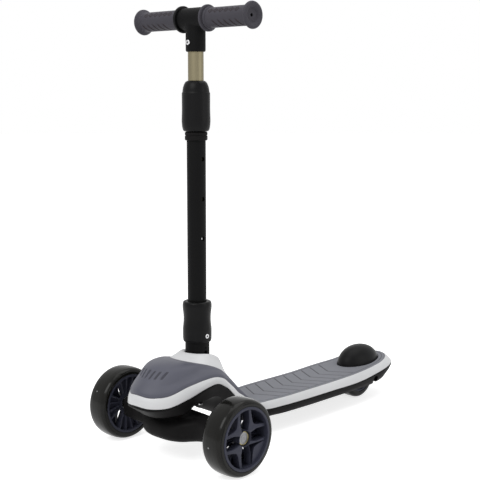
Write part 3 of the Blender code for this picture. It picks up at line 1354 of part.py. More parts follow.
def snap_button():
    tip = TUBE_BORE - 2 * GAP
    flange = INNER_BORE - 0.0012
    profile = [(0, tip), (HOLE_RADIUS - 0.0012, tip), (HOLE_RADIUS - GAP, tip - 0.0012),
               (HOLE_RADIUS - GAP, 0.0090), (0.0045, 0.0090), (0.0045, 0.0080), (0, 0.0080)]
    button = turned("snap_button", profile, SMALL, ring=False)
    own(button, STEEL, "button_axis", stem_at(HOLE_LOW), ACROSS)
    path = [(0.0042, -0.006), (0.0042, 0.002), (0.0030, 0.010), (-0.0005, 0.0145), (-0.0050, 0.0145),
            (-flange, 0.009), (-flange, -0.008)]
    leaf = outline_plate("snap_spring", [strip(path, LEAF_THICK)], 0.005)
    own(leaf, SPRING_STEEL, "bar_axis", stem_at(HOLE_LOW), (0, -1, 0))


# Assembly

def pivots():
    pivot("scooter", (0, 0, 0))
    pivot("truck_axis", KING, "scooter")
    for side, word in SIDES:
        pivot("wheel_axis_" + word, (side * TRACK_HALF, 0, FRONT_RADIUS), "truck_axis")
    pivot("rear_wheel_axis", REAR, "scooter")
    pivot("brake_axis", BRAKE_PIN, "scooter")
    pivot("stem_axis", FOLD, "scooter")
    pivot("collar_axis", stem_at(COLLAR_SCREW_Z), "stem_axis")
    pivot("sleeve_axis", stem_at(SLEEVE_BOTTOM), "stem_axis")
    pivot("bar_axis", stem_at(INNER_BOTTOM), "stem_axis")
    pivot("button_axis", stem_at(HOLE_LOW), "bar_axis")


pivots()
head_frame()
kingpin()
fold_pin()
base_parts()
shells()
rear_wheel()
brake()
truck()
front_wheels()
neck()
lock()
collar()
lower_tube()
clamp_sleeve()
upper_stem()
grips()
snap_button()
bpy.context.view_layer.update()
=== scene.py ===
"""Folding three-wheel kick scooter: the fine surfaces, materials, light and camera."""

import json
from math import atan2, copysign, cos, degrees, hypot, pi, radians, sin, sqrt

import bpy
import bmesh
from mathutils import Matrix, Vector

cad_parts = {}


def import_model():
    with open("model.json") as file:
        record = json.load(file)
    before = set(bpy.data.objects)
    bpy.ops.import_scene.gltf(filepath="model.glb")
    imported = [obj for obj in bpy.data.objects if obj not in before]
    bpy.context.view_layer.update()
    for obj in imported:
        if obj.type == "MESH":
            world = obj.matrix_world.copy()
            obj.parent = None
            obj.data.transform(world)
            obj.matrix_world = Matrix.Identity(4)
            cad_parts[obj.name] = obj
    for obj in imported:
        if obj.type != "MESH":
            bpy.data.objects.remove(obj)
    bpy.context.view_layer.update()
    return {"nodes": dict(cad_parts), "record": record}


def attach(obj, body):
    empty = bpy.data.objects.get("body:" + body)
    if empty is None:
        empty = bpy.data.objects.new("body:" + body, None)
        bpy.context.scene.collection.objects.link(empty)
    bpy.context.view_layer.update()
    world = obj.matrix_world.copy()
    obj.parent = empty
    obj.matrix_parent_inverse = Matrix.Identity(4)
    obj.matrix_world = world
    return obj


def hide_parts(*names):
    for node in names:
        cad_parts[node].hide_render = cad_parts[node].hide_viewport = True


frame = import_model()
NODES = frame["nodes"]
BODY = {node: body for body, names in frame["record"]["behaviour"]["bodies"].items() for node in names}

# Shapes are drawn in millimetres from the ground point under the front axle, +Y to the rear
MM = 0.001
AXLE_Y = -0.232
X, Y, Z = Vector((1, 0, 0)), Vector((0, 1, 0)), Vector((0, 0, 1))

# Places of the parts
TRACK_HALF, FRONT_Z = 133.0, 60
REAR_WHEEL = (0, 460, 40)
BRAKE_PIN = (0, 416, 52)
FOLD_PIN = (0, 45, 130)
NECK_SCREW, COLLAR_SCREW, TEE_SCREW = (0, 45, 169), (0, 45, 188.5), (0, 45, 648)
BUTTON, HOLE_STEP = (0, 45, 344), 62.5
BAR = (0, 45, 684)
WHEEL_WELL_HALF = 18.7


def world(p):
    return Vector((p[0] * MM, p[1] * MM + AXLE_Y, p[2] * MM))


# Materials


def put(tree, socket, value):
    """Sets a socket, or links it where the value is another node's output."""
    if isinstance(value, bpy.types.NodeSocket):
        tree.links.new(value, socket)
    else:
        socket.default_value = value


def fill(tree, node, **inputs):
    for name, value in inputs.items():
        put(tree, node.inputs[name.replace("_", " ")], value)
    return node


def add(tree, kind, **inputs):
    return fill(tree, tree.nodes.new("ShaderNode" + kind), **inputs)


def spread_out(tree, source, low, high):
    """Turns the middle of a noise into a range of values."""
    spread = add(tree, "MapRange", Value=source, From_Min=0.3, From_Max=0.7, To_Min=low, To_Max=high)
    return spread.outputs["Result"]


def noise(tree, scale, detail=3.0, stretch=(1, 1, 1)):
    where = add(tree, "TexCoord").outputs["Object"]
    mapping = add(tree, "Mapping", Vector=where, Scale=stretch)
    return add(tree, "TexNoise", Vector=mapping.outputs["Vector"], Scale=scale, Detail=detail,
               Roughness=0.5).outputs["Fac"]


def mix_colour(tree, factor, a, b):
    node = add(tree, "Mix")
    node.data_type = "RGBA"
    for k, value in ((0, factor), (6, a), (7, b)):
        put(tree, node.inputs[k], (*value, 1.0) if isinstance(value, tuple) else value)
    return node.outputs[2]


def material(name, colour, rough, metal=0.0, grain=900.0, bump=0.08, spread=0.10, coat=0.0,
             coat_rough=0.1, stretch=(1, 1, 1), specular=0.5, painted_shade_colour=None):
    """Moulded or machined finish: fine grain in the bump, soft drifts of colour and gloss, and
    painted shade: another, darker colour where a stored point attribute says that a point lies in a
    groove or in the shade of another part."""
    mat = bpy.data.materials.new(name)
    mat.use_nodes = True
    tree = mat.node_tree
    drift = noise(tree, 18.0, 4.0, stretch)
    tone = mix_colour(tree, spread_out(tree, drift, 0.0, 1.0), tuple(c * (1 - spread) for c in colour),
                      tuple(c * (1 + spread) for c in colour))
    # Painted shade: a darker colour mixed in where the stored point attribute says so.
    if painted_shade_colour:
        painted_shade_mask = add(tree, "Attribute")
        painted_shade_mask.attribute_name = "painted_shade_mask"
        tone = mix_colour(tree, painted_shade_mask.outputs["Fac"], tone, painted_shade_colour)
    relief = add(tree, "Bump", Strength=bump, Distance=0.0004, Height=noise(tree, grain, 2.0, stretch))
    fill(tree, tree.nodes["Principled BSDF"], Metallic=metal, Specular_IOR_Level=specular,
         Coat_Weight=coat, Coat_Roughness=coat_rough, Base_Color=tone, Normal=relief.outputs["Normal"],
         Roughness=spread_out(tree, drift, rough - 0.08, rough + 0.08))
    return mat


WHITE = material("white_moulding", (0.66, 0.665, 0.675), 0.38, bump=0.04, spread=0.015,
                 grain=1400, specular=0.35)
# The cover, the deck mat and the grips are coloured darker in their grooves: painted shade.
COVER = material("grey_satin_cover", (0.098, 0.100, 0.126), 0.50, bump=0.10, spread=0.05,
                 grain=1600, painted_shade_colour=(0.045, 0.046, 0.060), specular=0.22)
MAT = material("grey_deck_mat", (0.205, 0.210, 0.232), 0.66, bump=0.30, spread=0.06,
               grain=1500, painted_shade_colour=(0.075, 0.075, 0.088), specular=0.15)
PLASTIC = material("black_moulding", (0.0090, 0.0086, 0.0088), 0.52, bump=0.12,
                   spread=0.12, grain=1300, specular=0.05)
RUBBER = material("black_soft_plastic", (0.0056, 0.0056, 0.0060), 0.38, bump=0.06,
                  spread=0.10, grain=1500, specular=0.10)
PAINTED = material("black_powder_coat", (0.0056, 0.0056, 0.0058), 0.50, bump=0.06,
                   spread=0.08, grain=2200, specular=0.06)
# The tube's darker second colour is painted shade, where the outer tube covers it.
GOLD = material("champagne_anodised", (0.200, 0.176, 0.114), 0.40, 1.0, grain=500,
                bump=0.05, spread=0.05, stretch=(1, 1, 0.06), painted_shade_colour=(0.012, 0.011, 0.008))
STEEL = material("bright_steel", (0.60, 0.60, 0.61), 0.26, 1.0, grain=700, bump=0.06,
                 spread=0.05)
SPRING = material("spring_wire", (0.38, 0.38, 0.40), 0.34, 1.0, bump=0.05)
CASTING = material("cast_alloy", (0.30, 0.30, 0.31), 0.52, 1.0, bump=0.35, grain=700)
TYRE = material("smoky_tyre", (0.0056, 0.0055, 0.0045), 0.22, bump=0.03, spread=0.35,
                grain=260, coat=0.14, coat_rough=0.05, specular=0.10)
HUB = material("slate_hub", (0.040, 0.042, 0.062), 0.42, bump=0.08, spread=0.08,
               grain=1400, specular=0.12)
CAP = material("satin_cap", (0.20, 0.20, 0.205), 0.34, 1.0, grain=700, bump=0.06,
               spread=0.06)
GRIP = material("grey_grip", (0.058, 0.055, 0.066), 0.58, bump=0.20, spread=0.06,
                grain=1600, painted_shade_colour=(0.026, 0.019, 0.021), specular=0.12)
AMBER = material("amber_bushing", (0.40, 0.17, 0.04), 0.42, bump=0.05)
BRASS = material("gilt_ring", (0.42, 0.35, 0.14), 0.30, 1.0, grain=700, bump=0.05)
# Painted shade: near-black fill for the floor of screw sockets.
SOCKET_SHADE = material("painted_socket_shade", (0.004, 0.004, 0.004), 0.8, bump=0.1)


# Shapes: lists of points in millimetres and of faces

def joined(*shapes):
    verts, faces = [], []
    for v, f in shapes:
        base = len(verts)
        verts += [Vector(p) for p in v]
        faces += [tuple(k + base for k in face) for face in f]
    return verts, faces


def frame_of(axis):
    """Two directions square to an axis, and the axis."""
    w = Vector(axis).normalized()
    u = Y * copysign(1, w.x) if abs(w.x) > 0.9 else X
    u = (u - w * u.dot(w)).normalized()
    return u, w.cross(u), w


def full_turn(steps):
    return [2 * pi * k / steps for k in range(steps)]


def lathe(profile, centre=(0, 0, 0), axis=Z, steps=96, relief=None):
    """A profile of (radius, height) turned about an axis, and closed unless it starts on the
    axis; relief may change a radius."""
    u, v, w = frame_of(axis)
    c, n = Vector(centre), len(profile)
    verts, faces = [], []
    for a in full_turn(steps):
        d = u * cos(a) + v * sin(a)
        verts += [c + d * (relief(r, h, d) if relief else r) + w * h for r, h in profile]
    for k in range(steps):
        m = (k + 1) % steps
        for i in range(n if profile[0][0] > 0 else n - 1):
            j = (i + 1) % n
            faces.append((k * n + i, m * n + i, m * n + j, k * n + j))
    return verts, faces


def soft(points, radius=0.5, ends=False, segments=4):
    """A profile with its corners rounded, apart from its ends if it has any."""
    ends = ends or points[0][0] == 0
    found, n = [], len(points)
    for k, p in enumerate(points):
        p = Vector(p)
        a, b = Vector(points[k - 1]) - p, Vector(points[(k + 1) % n]) - p
        if (ends and k in (0, n - 1)) or min(a.length, b.length) < 1e-6 or a.angle(b) > radians(172):
            found.append(tuple(p))
            continue
        r = min(radius, a.length * 0.45, b.length * 0.45)
        start, end = p + a.normalized() * r, p + b.normalized() * r
        for s in range(segments + 1):
            t = s / segments
            found.append(tuple(start * (1 - t) ** 2 + p * 2 * t * (1 - t) + end * t * t))
    return found


def curve_through(points, steps, first=None, last=None):
    """A smooth line through points; each is a list of vectors (a row) or one vector. The rows
    before the first and after the last only steer its ends."""
    rows = [p if isinstance(p, list) else [p] for p in points]
    ghosts = ([first] if first else []) + rows + ([last] if last else [])
    gaps = [sum((b - a).length for a, b in zip(p, q)) / len(p) + 1e-6 for p, q in zip(ghosts, ghosts[1:])]
    found = []
    for i in range(len(rows) - 1):
        g = i + bool(first)
        count = steps if isinstance(steps, int) else steps[i]
        for s in range(count):
            found.append([hermite(ghosts, gaps, g, c, s / count) for c in range(len(rows[0]))])
    return found + [[p.copy() for p in rows[-1]]]


def hermite(rows, gaps, g, c, t):
    """The point of one column at a share t of the way from row g to the next."""
    h = gaps[g]
    a, b = rows[g][c], rows[g + 1][c]
    slope = start = end = (b - a) / h
    if g > 0:
        start = ((a - rows[g - 1][c]) / gaps[g - 1] * h + slope * gaps[g - 1]) / (h + gaps[g - 1])
    if g + 2 < len(rows):
        end = (slope * gaps[g + 1] + (rows[g + 2][c] - b) / gaps[g + 1] * h) / (h + gaps[g + 1])
    t2, t3 = t * t, t * t * t
    return (a * (2 * t3 - 3 * t2 + 1) + start * h * (t3 - 2 * t2 + t)
            + b * (3 * t2 - 2 * t3) + end * h * (t3 - t2))


def across(row, steps):
    """A smooth line across one row of key points."""
    return [r[0] for r in curve_through(row, steps)]


def relaxed(line, rounds):
    """The line with each point drawn towards its neighbours, the ends apart."""
    for _ in range(rounds):
        line = [line[0]] + [line[k] * 0.5 + (line[k - 1] + line[k + 1]) * 0.25
                            for k in range(1, len(line) - 1)] + [line[-1]]
    return line


def grid(rows, closed=False):
    wide, faces = len(rows[0]), []
    for i in range(len(rows) - 1):
        for j in range(wide if closed else wide - 1):
            a, b = i * wide + j, i * wide + (j + 1) % wide
            faces.append((a, a + wide, b + wide, b))
    return [p for row in rows for p in row], faces


def mirrored(row):
    return [Vector((-p.x, p.y, p.z)) for p in row]


def both_sides(shape):
    verts, faces = shape
    return joined((verts, faces), (mirrored(verts), [tuple(reversed(f)) for f in faces]))


def normals_of(rows):
    """Outward direction at each point of a grid whose first row lies in the middle plane."""
    found = []
    for i, row in enumerate(rows):
        line = []
        for j in range(len(row)):
            ahead = rows[min(i + 1, len(rows) - 1)][j]
            behind = rows[i - 1][j] if i else mirrored([ahead])[0]
            n = (ahead - behind).cross(row[min(j + 1, len(row) - 1)] - row[max(j - 1, 0)])
            line.append(n.normalized() if n.length > 1e-9 else Z.copy())
        found.append(line)
    return found


def place(name, data):
    obj = bpy.data.objects.new(name, data)
    bpy.context.scene.collection.objects.link(obj)
    return obj


def skin(name, shape):
    """A new object from a shape, with near points joined and all faces turned outward."""
    verts, faces = shape
    mesh = bpy.data.meshes.new(name)
    mesh.from_pydata([world(p) for p in verts], [], faces)
    b = bmesh.new()
    b.from_mesh(mesh)
    bmesh.ops.remove_doubles(b, verts=b.verts, dist=0.000004)
    bmesh.ops.dissolve_degenerate(b, edges=b.edges, dist=0.000001)
    bmesh.ops.recalc_face_normals(b, faces=b.faces)
    b.to_mesh(mesh)
    b.free()
    return place(name, mesh)


def baked(obj):
    """The mesh that an object's modifiers or its curve make."""
    graph = bpy.context.evaluated_depsgraph_get()
    return bpy.data.meshes.new_from_object(obj.evaluated_get(graph))


def apply_all(obj):
    mesh = baked(obj)
    obj.modifiers.clear()
    obj.data = mesh


def cut(obj, shape, operation="DIFFERENCE"):
    cutter = skin("cutter", shape)
    mod = obj.modifiers.new("cut", "BOOLEAN")
    mod.object = cutter
    mod.operation = operation
    mod.solver = "EXACT"
    apply_all(obj)
    bpy.data.objects.remove(cutter)


def finish(obj, mat, node, angle=34.0):
    """Gives a piece its material and the body of the CAD node it replaces, and hides that node."""
    obj.data.materials.clear()
    obj.data.materials.append(mat)
    obj.data.shade_smooth()
    obj.data.set_sharp_from_angle(angle=radians(angle))
    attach(obj, BODY[node])
    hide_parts(node)
    return obj


def piece(name, shape, mat, node, angle=34.0):
    return finish(skin(name, shape), mat, node, angle)


def soften_edges(obj, width, limit=50, segments=2):
    """Rounds the edges that are sharper than a limit, by a width in millimetres."""
    edge = obj.modifiers.new("edge", "BEVEL")
    edge.width = width * MM
    edge.segments = segments
    edge.limit_method = "ANGLE"
    edge.angle_limit = radians(limit)


def solidify(obj, wall, bevel=0.0, even=True):
    thick = obj.modifiers.new("wall", "SOLIDIFY")
    thick.thickness = wall * MM
    thick.offset = -1
    thick.use_even_offset = even
    if bevel:
        soften_edges(obj, bevel)
    apply_all(obj)


def block(low, high, bevel=0.6):
    """A box with softened edges."""
    b = bmesh.new()
    bmesh.ops.create_cube(b, size=1)
    for v in b.verts:
        v.co = Vector([lo + (hi - lo) * (c + 0.5) for lo, hi, c in zip(low, high, v.co)])
    bmesh.ops.bevel(b, geom=b.edges[:], offset=bevel, segments=2, profile=0.5, affect="EDGES")
    b.verts.index_update()
    shape = [v.co.copy() for v in b.verts], [tuple(v.index for v in f.verts) for f in b.faces]
    b.free()
    return shape


def plate(outlines, low, high, centre, axis, bevel=0.4):
    """A flat outline with holes, given thickness along an axis."""
    curve = bpy.data.curves.new("plate", "CURVE")
    curve.dimensions = "2D"
    curve.fill_mode = "BOTH"
    curve.extrude = (high - low) / 2 - bevel
    curve.bevel_depth = bevel
    curve.bevel_resolution = 2
    curve.offset = -bevel
    for outline in outlines:
        line = curve.splines.new("POLY")
        line.points.add(len(outline) - 1)
        for k, (px, py) in enumerate(outline):
            line.points[k].co = (px, py, 0, 1)
        line.use_cyclic_u = True
    obj = place("plate", curve)
    mesh = baked(obj)
    u, v, w = frame_of(axis)
    c = Vector(centre) + w * (low + high) / 2
    verts = [c + u * p.co.x + v * p.co.y + w * p.co.z for p in mesh.vertices]
    faces = [tuple(f.vertices) for f in mesh.polygons]
    bpy.data.objects.remove(obj)
    bpy.data.curves.remove(curve)
    bpy.data.meshes.remove(mesh)
    return verts, faces


def arc(radius, start, end, count, centre=(0, 0)):
    out = []
    for k in range(count + 1):
        a = radians(start + (end - start) * k / count)
        out.append((centre[0] + radius * cos(a), centre[1] + radius * sin(a)))
    return out


def turn(points, angle):
    c, s = cos(radians(angle)), sin(radians(angle))
    return [(x * c - y * s, x * s + y * c) for x, y in points]


def rod(radius, low, high, centre, axis, steps=64, soften=0.3):
    return lathe(soft([(0, high), (radius, high), (radius, low), (0, low)], soften), centre, axis, steps)


def pipe(outer, inner, low, high, centre, axis, steps=96, soften=0.3):
    return lathe(soft([(outer, high), (outer, low), (inner, low), (inner, high)], soften),
                 centre, axis, steps)


# Key lines of the body (the same as the solid's)

HEAD_LINES = (
    (-88, 8, 63.5, [(62, 32), (60, 53), (57.5, 71), (53, 90), (47.5, 108), (45.7, 118), (44.5, 127),
                    (43, 140), (42, 150)],
     [99, 96.6, 97.8, 108.8, 120.3, 121, 110, 95, 79, 65.5, 59, 55, 51, 49]),
    (-84, 6, 59.5, [(58.7, 30), (57, 47), (53, 62), (49, 78), (45, 95), (43.8, 104), (43.2, 117),
                    (42.8, 131), (42.5, 146)],
     [115, 112.4, 114.8, 126.2, 132, 131.5, 126, 116, 104, 90, 84.5, 75.5, 67.3, 62]),
    (-77, 6, 53, [(51.5, 30), (50, 46), (48, 62), (45.8, 78), (43.4, 96), (42.4, 105), (41.8, 117.5),
                  (41.4, 131.3), (41.2, 146)],
     [127.6, 126.4, 127.2, 133.2, 138, 137.5, 134, 123, 109.5, 93.2, 86.5, 76.7, 67.8, 62]),
    (-50, 10, 46, [(47.5, 32), (47.5, 47), (46, 63), (44, 79), (42.3, 97), (41.4, 106), (40.7, 118),
                   (40.2, 131.6), (40.2, 146)],
     [152, 151.5, 151, 149, 144.5, 140.5, 136, 125, 111.8, 94.6, 87.4, 77.3, 68.1, 62]),
    (-22, 18, 42, [(44.5, 37), (44.5, 50), (43.5, 65), (42, 80.5), (40.8, 98), (40, 107), (39.3, 118.7),
                   (38.8, 132), (38.8, 146)],
     [157, 156.5, 155.5, 152.5, 147.5, 142.5, 138, 127, 113, 95.3, 88, 77.8, 68.3, 62]),
    (1, 40, 41, [(41, 48), (40.8, 57), (40.2, 69), (39.4, 83), (38.4, 99.5), (37.6, 108.5), (37, 119.5),
                 (36.5, 132.5), (36.5, 146)],
     [155, 154.5, 152.5, 149, 143.5, 140, 135, 126, 112.5, 95.5, 88.3, 78, 68.5, 62]),
    (20, 45, 25, [(24.7, 56), (24.7, 67), (24.6, 78), (24.5, 88), (24.3, 99), (23, 109), (22, 120),
                  (21, 132.5), (20, 146)],
     [163, 163, 162.5, 162, 160.5, 157.5, 151, 132, 116, 101, 90, 77.5, 68.2, 62]),
    (24, 45, 21, [(21, 56), (21, 67), (21, 78), (18.5, 88), (9, 96), (0, 98.5), (0, 119.5), (0, 132.5),
                  (0, 146)],
     [161, 161, 160.5, 159.5, 158, 155.5, 149.5, 131, 117.5, 105.5, 102.5, 78, 68, 62]),
)
HEAD_ANGLES = (0.0, 22.5, 45.0, 67.5, 90.0)
TAIL_TURNS = [(cos(radians(a)) if a < 90 else 0.0, sin(radians(a))) for a in (0, 20, 40, 57, 74, 90)]
TAIL_CENTRE = 455.0
TAIL_SQUARE = 0.92
STATIONS = (165, 200, 250, 330, 400)
DECK_TOP = ((140, 62.0), (330, 62.0), (375, 63.0), (420, 64.5), (462, 66.5), (492, 70.0), (524, 73.0),
            (540, 74.0))
BAND_BOTTOM = ((140, 48.6), (160, 48.0), (400, 47.8), (430, 48.4), (475, 54.0), (510, 58.0), (552, 60.0))
BASE_BOTTOM = ((140, 33.5), (440, 33.5), (466, 33.8), (482, 36.0), (494, 40.0), (515, 46.5), (545, 53.0))
BAND_WIDTH = ((150, 42.0), (165, 47.3), (200, 51.5), (245, 54.0), (335, 54.6), (380, 55.4), (420, 53.4))
MAT_WIDTH = ((150, 42.5), (165, 46.0), (200, 49.5), (245, 50.0), (335, 49.6), (380, 50.8), (420, 49.4))
RECESS, SWELL = 2.5, 1.4


def step(table, value):
    for (a, va), (b, vb) in zip(table, table[1:]):
        if value <= b:
            return va + (vb - va) * (value - a) / (b - a)
    return table[-1][1]


def over(table, x, y):
    """The point at a place of the plan whose height comes from a table."""
    return Vector((x, y, step(table, y)))


def head_keys():
    lines = []
    for nose, centre, half, side, heights in HEAD_LINES:
        front = [(half * sin(radians(a)), centre + (nose - centre) * cos(radians(a))) for a in HEAD_ANGLES]
        lines.append([Vector((*p, z)) for p, z in zip(front + side, heights)])
    return [list(row) for row in zip(*lines)]


def deck_key(low, high, middle_y):
    plan = [(high[0] * (1 - k / 6), high[1] + (middle_y - high[1]) * (k / 6)) for k in range(7)]
    return [over(BAND_BOTTOM, *low)] + [over(DECK_TOP, *p) for p in plan]


def deck_keys():
    rows = [deck_key((step(BAND_WIDTH, y), y), (step(MAT_WIDTH, y), y), y) for y in STATIONS]
    return rows + [deck_key((51 * c ** TAIL_SQUARE, TAIL_CENTRE + 97 * s ** TAIL_SQUARE),
                            (45.8 * c, TAIL_CENTRE + 80 * s), TAIL_CENTRE + 55 * s) for c, s in TAIL_TURNS]


HEAD_KEYS, DECK_KEYS = head_keys(), deck_keys()
KEYS = HEAD_KEYS + DECK_KEYS


def gap_steps(rows, spacing):
    return [max(1, round(sum((b - a).length for a, b in zip(p[:3], q[:3])) / 3 / spacing))
            for p, q in zip(rows, rows[1:])]


def half_body(keys, steps):
    """The rows of one half of the body, which stay on its side of the middle plane."""
    rows = curve_through(keys, steps, first=mirrored(keys[1]), last=mirrored(keys[-2]))
    for row in rows:
        for p in row:
            p.x = max(p.x, 0.0)
    return rows


STEPS = gap_steps(KEYS, 1.1)
ALL_ROWS = half_body(KEYS, STEPS)
HEAD_COUNT = sum(STEPS[:len(HEAD_KEYS) - 1]) + 1
HEAD_ROWS, DECK_ROWS = ALL_ROWS[:HEAD_COUNT], ALL_ROWS[HEAD_COUNT:]


def out_directions(line):
    """Level direction away from the body along an edge that runs from nose to tail."""
    line = mirrored(line[1:2]) + line + mirrored(line[-2:-1])
    return [Vector((after.y - before.y, before.x - after.x, 0)).normalized()
            for before, after in zip(line, line[2:])]


# White shell: band round the body, cone round the neck, floor under the mat

def cover_line(row):
    """Across the cover: a plain border, a rounded shoulder and the dome."""
    border = [row[1].lerp(row[2], k / 7) for k in range(7)]
    return relaxed(border + across(row[2:6], [20, 16, 12]), 5)


COVER_ROWS = [cover_line(row) for row in HEAD_ROWS]
COVER_NORMALS = normals_of(COVER_ROWS)


def band():
    rows = []
    for i, (row, out) in enumerate(zip(ALL_ROWS, out_directions([row[0] for row in ALL_ROWS]))):
        low, high = row[:2]
        n, way = Z, -out
        if i < HEAD_COUNT:
            n, way = COVER_NORMALS[i][0], (COVER_ROWS[i][3] - high).normalized()
        bulge = [low + (high - low) * t + out * (SWELL * 4 * t * (1 - t) * (0.62 + 0.38 * t))
                 for t in (0.0, 0.04, 0.1, 0.2, 0.35, 0.5, 0.65, 0.8, 0.9, 0.96, 1.0)]
        bulge[0] -= out * 0.35
        bulge[-1] += way * 0.15
        foot = high - n * RECESS + way * 0.2
        inner = [foot, foot - out * 1.4 - n * 1.2, (low + high) / 2 - out * 2.0, low - out * 2.2]
        rows.append(bulge + inner)
    return grid(rows, closed=True)


def cone():
    """From under the cover's inner edge up to the rim round the neck, and down inside it."""
    rows = []
    for row, line, normals in zip(HEAD_ROWS, COVER_ROWS, COVER_NORMALS):
        n, (foot, rim, mouth) = normals[-1], row[5:8]
        back, up = (line[-5] - foot).normalized(), (rim - foot).normalized()
        skirt = [foot - n * RECESS + back * 4, foot - n * RECESS + back * 0.3, foot - n * 0.5,
                 foot + up * 0.4]
        top = relaxed(across([foot + up * 0.8, foot.lerp(rim, 0.5) + n * 0.2, rim, mouth], [8, 8, 5]), 3)
        rows.append(skirt + top + [mouth - Z * (3.0 if mouth.x > 1.0 else 0.0)])
    return grid(rows)


def white_shell():
    wall = skin("shell_band", both_sides(band()))
    middle = skin("shell_cone", both_sides(cone()))
    solidify(middle, 1.6, even=False)
    rows = [[row[1].lerp(row[7], k / 12) - Z * RECESS for k in range(13)]
            for row in [HEAD_ROWS[-1]] + DECK_ROWS]
    floor = skin("shell_floor", both_sides(grid(rows[::4] + rows[-1:])))
    solidify(floor, 2.0)
    cut(floor, dome_hole(3.0))
    for obj in (wall, middle):
        soften_edges(obj, 0.25)
        apply_all(obj)
    for obj in (wall, middle, floor):
        finish(obj, WHITE, "white_shell")


DOME_X, DOME_Y, DOME_H, DOME_C, DOME_Z = 30.5, 49.0, 32.2, 468.0, 66.0


def dome_hole(fit):
    """An upright cutter that follows the dome's foot with some room round it."""
    points = [((DOME_X + fit) * sin(a), DOME_C + (DOME_Y + fit) * cos(a)) for a in full_turn(96)]
    n = len(points)
    faces = [(k, (k + 1) % n, n + (k + 1) % n, n + k) for k in range(n)]
    faces += [tuple(reversed(range(n))), tuple(range(n, 2 * n))]
    return [Vector((x, y, z)) for z in (40, 90) for x, y in points], faces


# Head cover, with a row of plain engraved slots

def clamped(value):
    return min(1.0, max(0.0, value))


def slot_depth(x, y, z):
    """Share of full depth of the slanting slots on the cover's front."""
    best = 0.0
    for k in range(-3, 4):
        half = 9.0 - 0.5 * abs(k)
        u, v = x - k * 8.6 - (z - 143.0) * 0.18, z - 143.0
        along = max(0.0, abs(v) - (half - 2.0) * 0.62)
        best = max(best, clamped((2.1 - hypot(u, along)) / 0.7))
    return best if y < -10 else 0.0


def edge_swell(far):
    """How far the cover rises behind its edge: a steep strip, then a soft ridge."""
    rise, fall = clamped((far - 1.0) / 4.0), clamped((far - 5.6) / 15.0)
    return 1.5 * rise * rise * (3 - 2 * rise) * (1 - fall * fall * (3 - 2 * fall))


def edge_lip(p, way, n, shares):
    """The turned-down edge of a skin: points by how far in and how far down they lie."""
    return [p + way * far - n * down for far, down in shares]


def head_cover():
    outer, shares = [], ((0.6, 1.9), (0.6, 0.6), (0.78, 0.2), (1.2, 0))
    for line, normals in zip(COVER_ROWS, COVER_NORMALS):
        first, last = line[0], line[-1]
        way, back = (line[1] - first).normalized(), (line[-2] - last).normalized()
        row = edge_lip(first, way, normals[0], shares)
        for p, n in zip(line[2:-2], normals[2:-2]):
            row.append(p + n * (edge_swell((p - first).length) - 0.75 * slot_depth(p.x, p.y, p.z)))
        outer.append(row + edge_lip(last, back, normals[-1], shares[::-1]))
    obj = skin("head_cover_skin", both_sides(grid(outer)))
    solidify(obj, 1.0, even=False)
    # Painted shade: the slots are coloured darker.
    store_painted_shade(obj, lambda p: slot_depth(abs(p.x), p.y, p.z) if p.z > 125 else 0.0)
    finish(obj, COVER, "head_cover")


def store_painted_shade(obj, rule):
    """Stores a share for each point, for the material to darken it with painted shade: how far it lies in a
    groove, or in another part's shade.
    """
    values = [rule(Vector((v.co.x / MM, (v.co.y - AXLE_Y) / MM, v.co.z / MM))) for v in obj.data.vertices]
    obj.data.attributes.new("painted_shade_mask", "FLOAT", "POINT").data.foreach_set("value", values)


# Deck mat, engraved with nested chevrons inside a border line

def deck_groove(x, y, edge):
    """Share of full depth: chevrons that point forward, between a border groove and the brake."""
    best = 0.0
    if edge > 9.5 and 172 < y < 408:
        for k in range(9):
            far = abs((y - (178 + k * 25.0)) - 0.55 * abs(x)) / hypot(1, 0.55)
            best = max(best, clamped((1.35 - far) / 0.55))
    return max(best, clamped((0.95 - abs(edge - 7.2)) / 0.5) * 0.7)


def deck_mat():
    keys = [[p + Y * 1.5 for p in HEAD_ROWS[-1]]] + DECK_ROWS
    table = sorted((row[1].y, row[1].x) for row in keys)

    def edge_gap(x, y):
        return min([1e9] + [hypot(abs(x) - xa, y - ya) for (ya, xa), (yb, _) in zip(table[::3], table[3::3])
                            if abs((ya + yb) / 2 - y) < 60])

    rows, count = [], 46
    for key in keys:
        edge, way = key[1], key[7] - key[1]
        wide = way.length
        way = way.normalized() if wide > 1e-6 else -Y
        row = edge_lip(edge, way, Z, ((0.6, 2.1), (0.6, 0.9), (0.85, 0.3), (1.5, 0)))
        for k in range(1, count + 1):
            p = edge + way * (1.5 + (wide - 1.5) * (k / count))
            p = over(DECK_TOP, max(p.x, 0.0), p.y)
            p.z -= 0.9 * deck_groove(p.x, p.y, edge_gap(p.x, p.y))
            row.append(p)
        rows.append(row)
    obj = skin("deck_mat_skin", both_sides(grid(rows)))
    solidify(obj, 1.0, even=False)
    cut(obj, dome_hole(1.0))
    # Painted shade: the chevrons and the border groove are coloured darker.
    store_painted_shade(obj, lambda p: deck_groove(p.x, p.y, edge_gap(p.x, p.y)))
    finish(obj, MAT, "deck_mat")


# Black base

SKIRT_EDGE = [(0, -60, 76), (20, -56, 76.5), (37, -43, 79.5), (49, -22, 85), (58.5, 8, 99.5),
              (58.5, 27, 101.5), (56.5, 44, 94), (53.5, 58, 81), (49.5, 75, 65), (46.5, 92, 51.5),
              (45.5, 103, 43.5), (44.8, 113, 38), (44.5, 131, 34.5), (45, 150, 33.5)]
KEEL_LINE = SKIRT_EDGE[:4] + [
    (28, 17, 91), (14, 31, 83), (0, 40, 70), (0, 55, 63), (0, 72, 55), (0, 90, 46), (0, 103, 39.5),
    (0, 115, 35), (0, 131, 34), (0, 150, 33.5)]


def pull_in(p, amount=0.4):
    flat = Vector((p.x, 0, 0)) if p.x > amount else Vector((0, p.y - 45, 0))
    return p - flat.normalized() * amount


